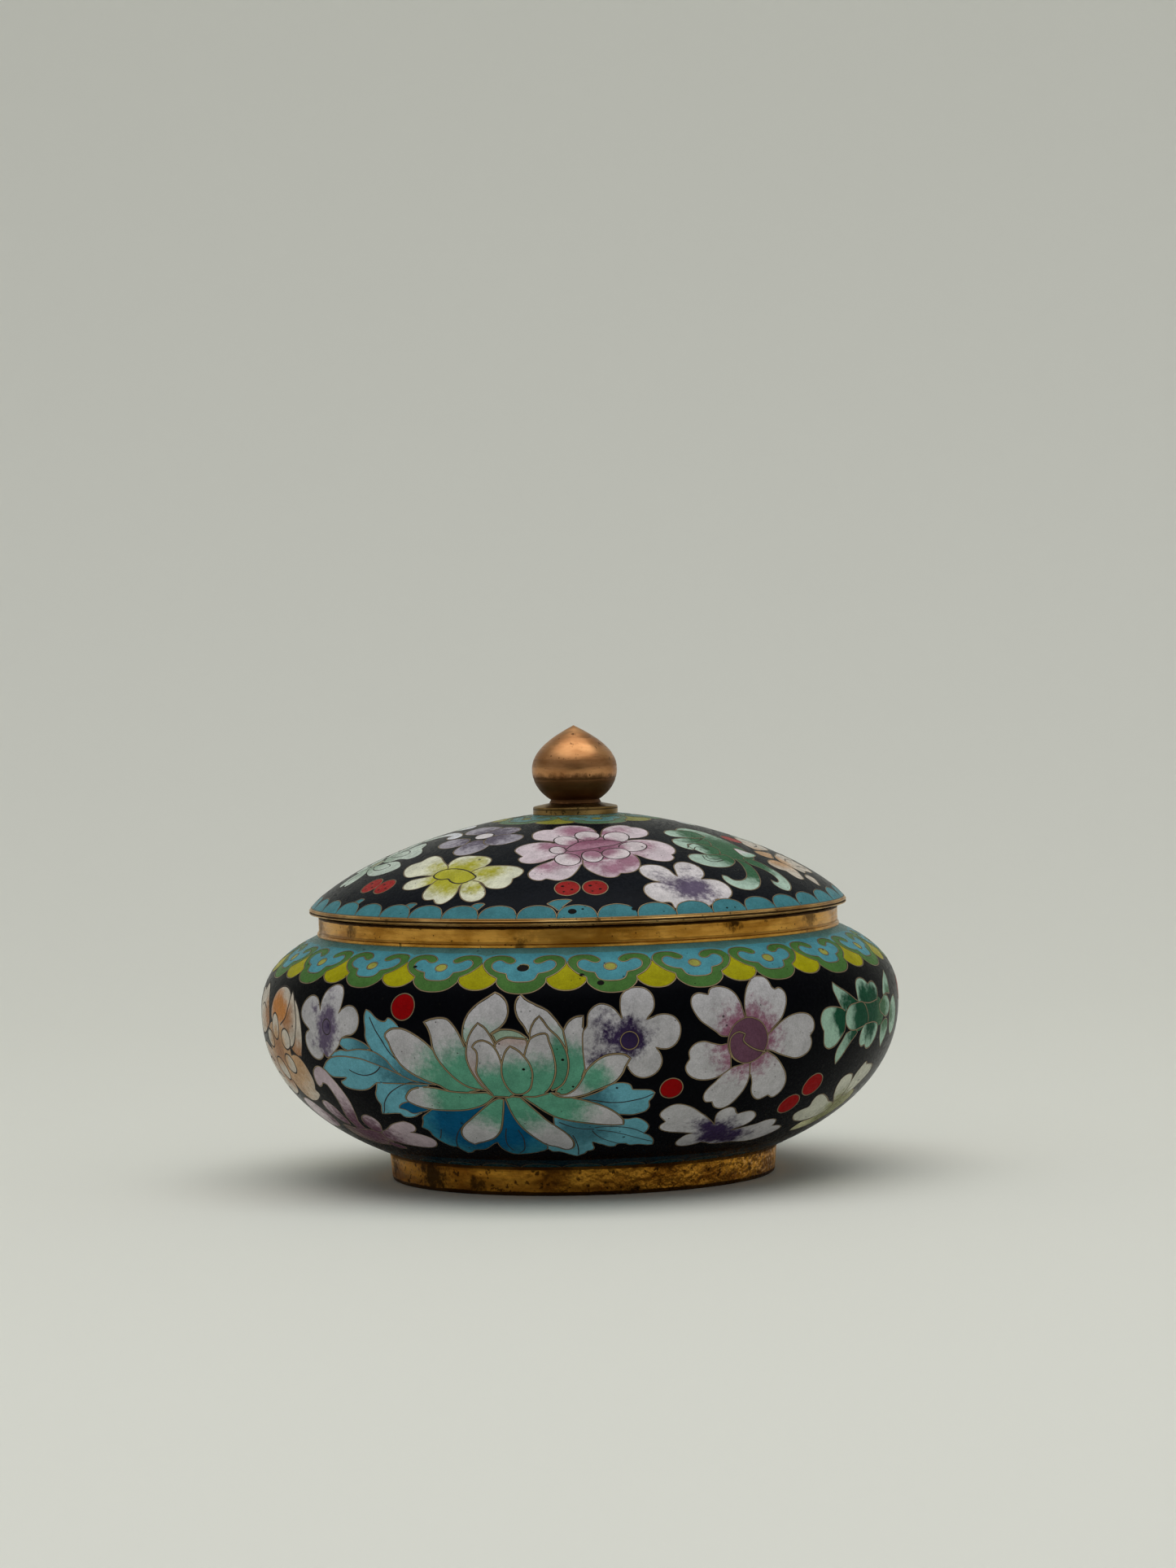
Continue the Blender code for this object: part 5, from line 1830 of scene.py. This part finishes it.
def bowl_piece(glass):
    """The bowl: its drawn outside, its lining and its underside."""
    shoulder = run(shoulder_above, BELLY_RADIUS, COLLAR_RADIUS, BELLY_RADIUS, count=60)
    lower = run(belly_below, BELLY_RADIUS, FOOT_RADIUS, BELLY_RADIUS, count=110)[::-1]
    skin = Skin(shoulder + lower[1:], flat_start=100, flat_sign=-1)
    # The lowest band is turquoise darkened with painted shade under the belly
    draw = Drawing(skin, [(0, SHADED_TURQUOISE), (5.5, BLACK), (61.6, SHADED_FOOT_TURQUOISE)])
    paint_bowl(draw)
    mouth = COLLAR_RADIUS - COLLAR_WALL
    floor = BASE_HEIGHT + WALL
    hollow = BELLY_RADIUS - WALL
    within = 30 * MM  # where the lining is already flat
    low = run(lambda r: belly_below(r, WALL), hollow, within, hollow, count=60)
    low = [p for p in low if p[1] > floor]
    high = run(lambda r: shoulder_above(r, WALL), hollow, mouth, hollow, count=24)[::-1]
    turn = low[0][0]
    lining = [(0, floor), (turn * 0.5, floor), (turn - 0.4 * MM, floor)] + low + high[1:]
    lining += [(mouth, MOUTH_HEIGHT), (COLLAR_RADIUS, MOUTH_HEIGHT)]
    under = run(belly_below, BELLY_RADIUS, BASE_RADIUS, FOOT_RADIUS, count=8)[::-1]
    under += [(BASE_RADIUS * 0.5, BASE_HEIGHT), (0, BASE_HEIGHT)]
    rests = [
        (lining, "last", "start", LINING, BOWL_LINING_SHEET),
        (under, "first", "end", LINING, BOWL_UNDER_SHEET),
    ]
    enamelled("bowl", draw, BOWL_SHEET, rests, glass)
    return draw


def lid_piece(glass):
    """The lid: its drawn outside and its hollow."""
    skin = Skin(run(lid_above, RIM_RADIUS, 0, LID_RADIUS, count=150), flat_start=0, flat_sign=1)
    # The lid's ground is the black with its painted sheen
    draw = Drawing(skin, [(0, SHADED_TURQUOISE), (17.5, LID_BLACK_WITH_SHEEN)])
    paint_lid(draw)
    hollow = RIM_RADIUS - WALL
    lining = run(lambda r: lid_above(r, WALL), hollow, 0, hollow, count=80)[::-1]
    lining = [p for p in lining if p[1] > LID_FOOT]
    edge = (lining[0][0] + 0.15 * MM, LID_FOOT)
    rests = [([(LID_RADIUS, LID_FOOT), edge] + lining, "first", "end", LINING, LID_LINING_SHEET)]
    enamelled("lid", draw, LID_SHEET, rests, glass)
    return draw


def wire_piece(name, draw, threads):
    """The wires of a drawing, which lie over the enamel."""
    piece = put(name, wire_mesh(name, draw))
    for thread in threads:
        piece.data.materials.append(thread)
    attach(piece, "root")
    return piece


def rounded(outline, radius):
    """The closed outline with its corners rounded."""
    spots = [np.array(p, float) for p in outline]
    result = []
    for before, spot, after in zip(spots[-1:] + spots[:-1], spots, spots[1:] + spots[:1]):
        back, ahead = before - spot, after - spot
        reach = min(radius, np.linalg.norm(back) * 0.45, np.linalg.norm(ahead) * 0.45)
        start = spot + back / np.linalg.norm(back) * reach
        stop = spot + ahead / np.linalg.norm(ahead) * reach
        for k in range(CORNER_STEPS + 1):
            t = k / CORNER_STEPS
            result.append(tuple((1 - t) ** 2 * start + 2 * t * (1 - t) * spot + t**2 * stop))
    return result


def collar_outline():
    """The band round the mouth, with a bead of solder in place of its lower outer corner."""
    inner = COLLAR_RADIUS - COLLAR_WALL
    band = rounded([
        (COLLAR_RADIUS, COLLAR_TOP), (COLLAR_RADIUS, MOUTH_HEIGHT), (inner, MOUTH_HEIGHT),
        (inner, COLLAR_TOP),
    ], 0.3 * MM)
    corner = CORNER_STEPS + 1
    size = 0.35 * MM
    bead = [
        (COLLAR_RADIUS + size * out, MOUTH_HEIGHT + size * up)
        for out, up in ((0, 2), (0.8, 1.4), (1, 0.4), (0.6, -0.6))
    ]
    return band[:corner] + bead + band[2 * corner :]


def rim_outline():
    """Two rounded ridges with a groove between them, and the flange inside the collar."""
    bottom = COLLAR_TOP + SEAM + 0.2 * MM
    high = RIM_TOP - bottom
    flange_out = COLLAR_RADIUS - COLLAR_WALL - LID_PLAY
    flange_in = flange_out - FLANGE_WALL
    depth, half = 0.4 * MM, high * 0.235  # of each ridge
    arc, steps = 0.94, 8  # a ridge's share of a half circle
    outer = []
    for share in (0.76, 0.24):
        middle = bottom + high * share
        for k in range(steps + 1):
            turn = math.pi * (0.5 - k / steps) * arc
            radius = RIM_RADIUS - depth + depth * math.cos(turn)
            outer.append((radius, middle + half * math.sin(turn)))
    inner = [
        (flange_out, bottom), (flange_out, FLANGE_BOTTOM), (flange_in, FLANGE_BOTTOM),
        (flange_in, RIM_TOP), (LID_RADIUS - 0.5 * MM, RIM_TOP + SEAM * 1.1),
        (LID_RADIUS + 0.1 * MM, RIM_TOP + SEAM * 0.9),
    ]
    return outer + inner


def foot_outline():
    """The foot ring, its top following the bowl's underside, with a fillet of solder."""
    bottom = FOOT_RADIUS - FOOT_TAPER
    inner = FOOT_RADIUS - FOOT_WALL
    bevel = 0.4 * MM
    fillet = 0.55 * MM
    top = belly_below(FOOT_RADIUS)
    return [
        (FOOT_RADIUS + fillet, belly_below(FOOT_RADIUS + fillet)),
        (FOOT_RADIUS + fillet * 0.45, top - fillet * 0.35),
        (FOOT_RADIUS + fillet * 0.1, top - fillet * 1.1),
        (FOOT_RADIUS - 0.02 * MM, top - fillet * 2.2),
        (bottom, bevel * 1.3), (bottom - bevel * 0.3, bevel * 0.4), (bottom - bevel, 0),
        (inner + bevel * 0.5, 0), (inner, bevel * 0.5), (inner, belly_below(inner)),
    ]


def disc_outline():
    """The low cone under the knob, seated on the lid."""
    edge = DISC_TOP - DISC_SLOPE
    rings = 6
    seat = [DISC_RADIUS * i / rings for i in range(rings, -1, -1)]
    return [
        (0, DISC_TOP), (NECK_RADIUS, DISC_TOP), (NECK_RADIUS + 0.3 * MM, DISC_TOP - 0.05 * MM),
        (DISC_RADIUS - 0.35 * MM, edge + 0.08 * MM), (DISC_RADIUS - 0.1 * MM, edge - 0.04 * MM),
        (DISC_RADIUS, edge - 0.25 * MM), (DISC_RADIUS, lid_above(DISC_RADIUS) + 0.2 * MM),
    ] + [(r, lid_above(r) + 0.02 * MM) for r in seat]


def knob_outline():
    """A bulb drawn up to a point on a short neck, with a fine turned line under its widest part."""
    below = BULB_DEPTH * math.sqrt(1 - (NECK_RADIUS / BULB_RADIUS) ** 2)
    centre = KNOB_FOOT + NECK_HEIGHT + below
    point = KNOB_TIP - centre
    rings = 40
    outline = []
    for k in range(rings + 1):
        step = 1 - k / rings
        outline.append((BULB_RADIUS * (1 - step**POINT_POWER), centre + point * step))
    outline[0] = (0, KNOB_TIP)
    line, width, depth = 2.1 * MM, 0.16 * MM, 0.07 * MM
    for k in range(1, rings + 1):
        drop = below * k / rings
        groove = depth * math.exp(-(((drop - line) / width) ** 2))
        radius = BULB_RADIUS * math.sqrt(1 - (drop / BULB_DEPTH) ** 2) - groove
        outline.append((radius, centre - drop))
    foot = DISC_TOP - 0.02 * MM
    flare = NECK_RADIUS + 0.3 * MM
    return outline + [
        (NECK_RADIUS + 0.05 * MM, KNOB_FOOT + NECK_HEIGHT * 0.6), (flare, foot + 0.1 * MM),
        (flare, foot), (0, foot),
    ]


def stage():
    """A sheet of pale paper that curves up behind the bowl."""
    side = [(PAPER_FRONT, 0.0), (BEND_START, 0.0)]
    for k in range(1, BEND_STEPS + 1):
        turn = math.pi / 2 * k / BEND_STEPS
        back = BEND_START + BEND_RADIUS * math.sin(turn)
        side.append((back, BEND_RADIUS - BEND_RADIUS * math.cos(turn)))
    side.append((BEND_START + BEND_RADIUS, PAPER_TOP))
    verts = [(x, y, z) for y, z in side for x in (-PAPER_HALF_WIDTH, PAPER_HALF_WIDTH)]
    faces = [(2 * i, 2 * i + 1, 2 * i + 3, 2 * i + 2) for i in range(len(side) - 1)]
    mesh = bpy.data.meshes.new("stage_sheet")
    mesh.from_pydata(verts, [], faces)
    mesh.shade_smooth()
    mesh.materials.append(paper_material())
    sheet = put("stage_sheet", mesh)


def lamps():
    """Rectangles of soft light, each turned to its target."""
    for name, place, target, size, power in LAMPS:
        light = bpy.data.lights.new(name, "AREA")
        light.shape = "RECTANGLE"
        light.size, light.size_y = size
        light.energy = power
        lamp = put(name, light)
        lamp.location = place
        aim = Vector(target) - Vector(place)
        lamp.rotation_euler = aim.to_track_quat("-Z", "Y").to_euler()


def tent():
    """Soft light from pale walls and a roof all round, with a dark opening at the front."""
    world = bpy.data.worlds.new("tent")
    bpy.context.scene.world = world
    graph = Graph(world, "Background", Color=(*TENT_COLOUR, 1))
    direction = graph.add("ShaderNodeTexCoord").outputs["Generated"]
    x, y, z = graph.add("ShaderNodeSeparateXYZ", {0: direction}).outputs
    front = graph.ramp(z, 0.25, 0.6, FRONT_LOW, FRONT_HIGH)
    walls = graph.ramp(graph.math("ABSOLUTE", x), 0.15, 0.8, front, WALL_LIGHT)
    roof = graph.ramp(y, -0.4, 0.4, ROOF_FRONT, ROOF_BACK)
    graph.feed(graph.shader, "Strength", graph.ramp(z, 0.7, 0.9, walls, roof))


def camera():
    """The camera, at the photo's height and angle."""
    lens = bpy.data.cameras.new("camera")
    lens.sensor_fit = "HORIZONTAL"
    lens.sensor_width = SENSOR_WIDTH
    lens.lens = FOCAL_LENGTH
    lens.clip_end = CAMERA_REACH
    eye = put("camera", lens)
    pitch = Matrix.Rotation(math.radians(90 - CAMERA_PITCH), 4, "X")
    roll = Matrix.Rotation(math.radians(-CAMERA_ROLL), 4, "Z")
    eye.matrix_world = Matrix.Translation(CAMERA_PLACE) @ pitch @ roll
    bpy.context.scene.camera = eye


def metal_pieces():
    """The collar, the lid's rim, the foot ring, the disc and the knob, each with its stains and
    painted shade.
    """
    foot = MOUTH_HEIGHT / MM
    brass = metal_material(
        "brass_metal", COLLAR_TONES, stained=0.38, roughness=(0.24, 0.38), streak=0.1,
        spots=(
            # (33, -47, 59.5) is painted shadow of the gap under the lid, wider at the right
            ((-48, -30, 57), 2.4, 0.7), ((33, -47, 59.5), 3.4, 0.9), ((50, -28, 58), 4, 0.7),
            # (-2, -56, 58.5) is a wide painted reflection of the dark front; the other spots are
            # stains
            ((-55, -10, 57), 5, 0.6), ((-2, -56, 58.5), 14, 0.3), ((-12, -56, foot + 0.6), 2, 0.7),
        ),
        # Painted shadow under the lid's rim at the top, and painted shade just above the solder
        # bead
        bands=((COLLAR_TOP / MM - 0.1, 0.4, 0.96), (foot + 0.95, 0.2, 0.4)),
    )
    turned("neck_collar", collar_outline(), brass, closed=True)
    # The dark band in the groove between the rim's two ridges is painted shade
    groove = (COLLAR_TOP / MM + 0.5) * 0.45 + RIM_TOP / MM * 0.55
    pale = metal_material(
        "rim_metal", RIM_TONES, stained=0.4, roughness=(0.25, 0.4), streak=0.15,
        bands=((groove, 0.22, 0.75),),
    )
    turned("lid_rim", rim_outline(), pale, closed=True)
    top = belly_below(FOOT_RADIUS) / MM
    dull = metal_material(
        "foot_metal", FOOT_TONES, stained=0.44, roughness=(0.3, 0.5), streak=0.08,
        spots=(
            # (-6, -42, 8) and (18, -39, 7.5) are painted shade under the belly; the others are
            # stains and a notch
            ((-32, -27, 3.6), 6, 0.9), ((-23, -36, 1.6), 2.6, 0.8), ((-41, -10, 4), 3, 0.8),
            ((10.5, -41.7, 0.6), 2.6, 0.95), ((-6, -42, 8), 6, 0.6), ((18, -39, 7.5), 4, 0.6),
        ),
        # Painted contact shadow along the bottom edge, and painted shade under the belly at the top
        bands=((0.2, 0.7, 0.9), (top, 0.5, 0.75)),
        cast=0.8,
    )
    turned("foot_ring", foot_outline(), dull, closed=True)
    # The two dark rings down the disc's side are painted shade of grooves that the outline lacks
    edge = (DISC_TOP - DISC_SLOPE) / MM
    dark = metal_material(
        "disc_metal", DISC_TONES, stained=0.42, roughness=(0.28, 0.42), streak=0.12,
        bands=((edge - 0.5, 0.14, 0.7), (edge - 1.9, 0.25, 0.6)),
    )
    turned("knob_collar", disc_outline(), dark)
    # The dark middle ring and lower half: patina with painted reflection of the dark front and lid
    tip = KNOB_TIP / MM
    copper = metal_material(
        "knob_metal", KNOB_TONES, stained=0.4, roughness=(0.26, 0.4), streak=0.05,
        bands=((tip - 8.1, 0.9, 0.25), (tip - 14.2, 3.4, 0.75)),
    )
    turned("knob", knob_outline(), copper)


def main():
    glass = enamel_material()
    threads = wire_materials()
    wire_piece("bowl_wires", bowl_piece(glass), threads)
    wire_piece("lid_wires", lid_piece(glass), threads)
    metal_pieces()
    stage()
    lamps()
    tent()
    camera()
    bpy.context.scene.view_settings.view_transform = "Standard"


main()
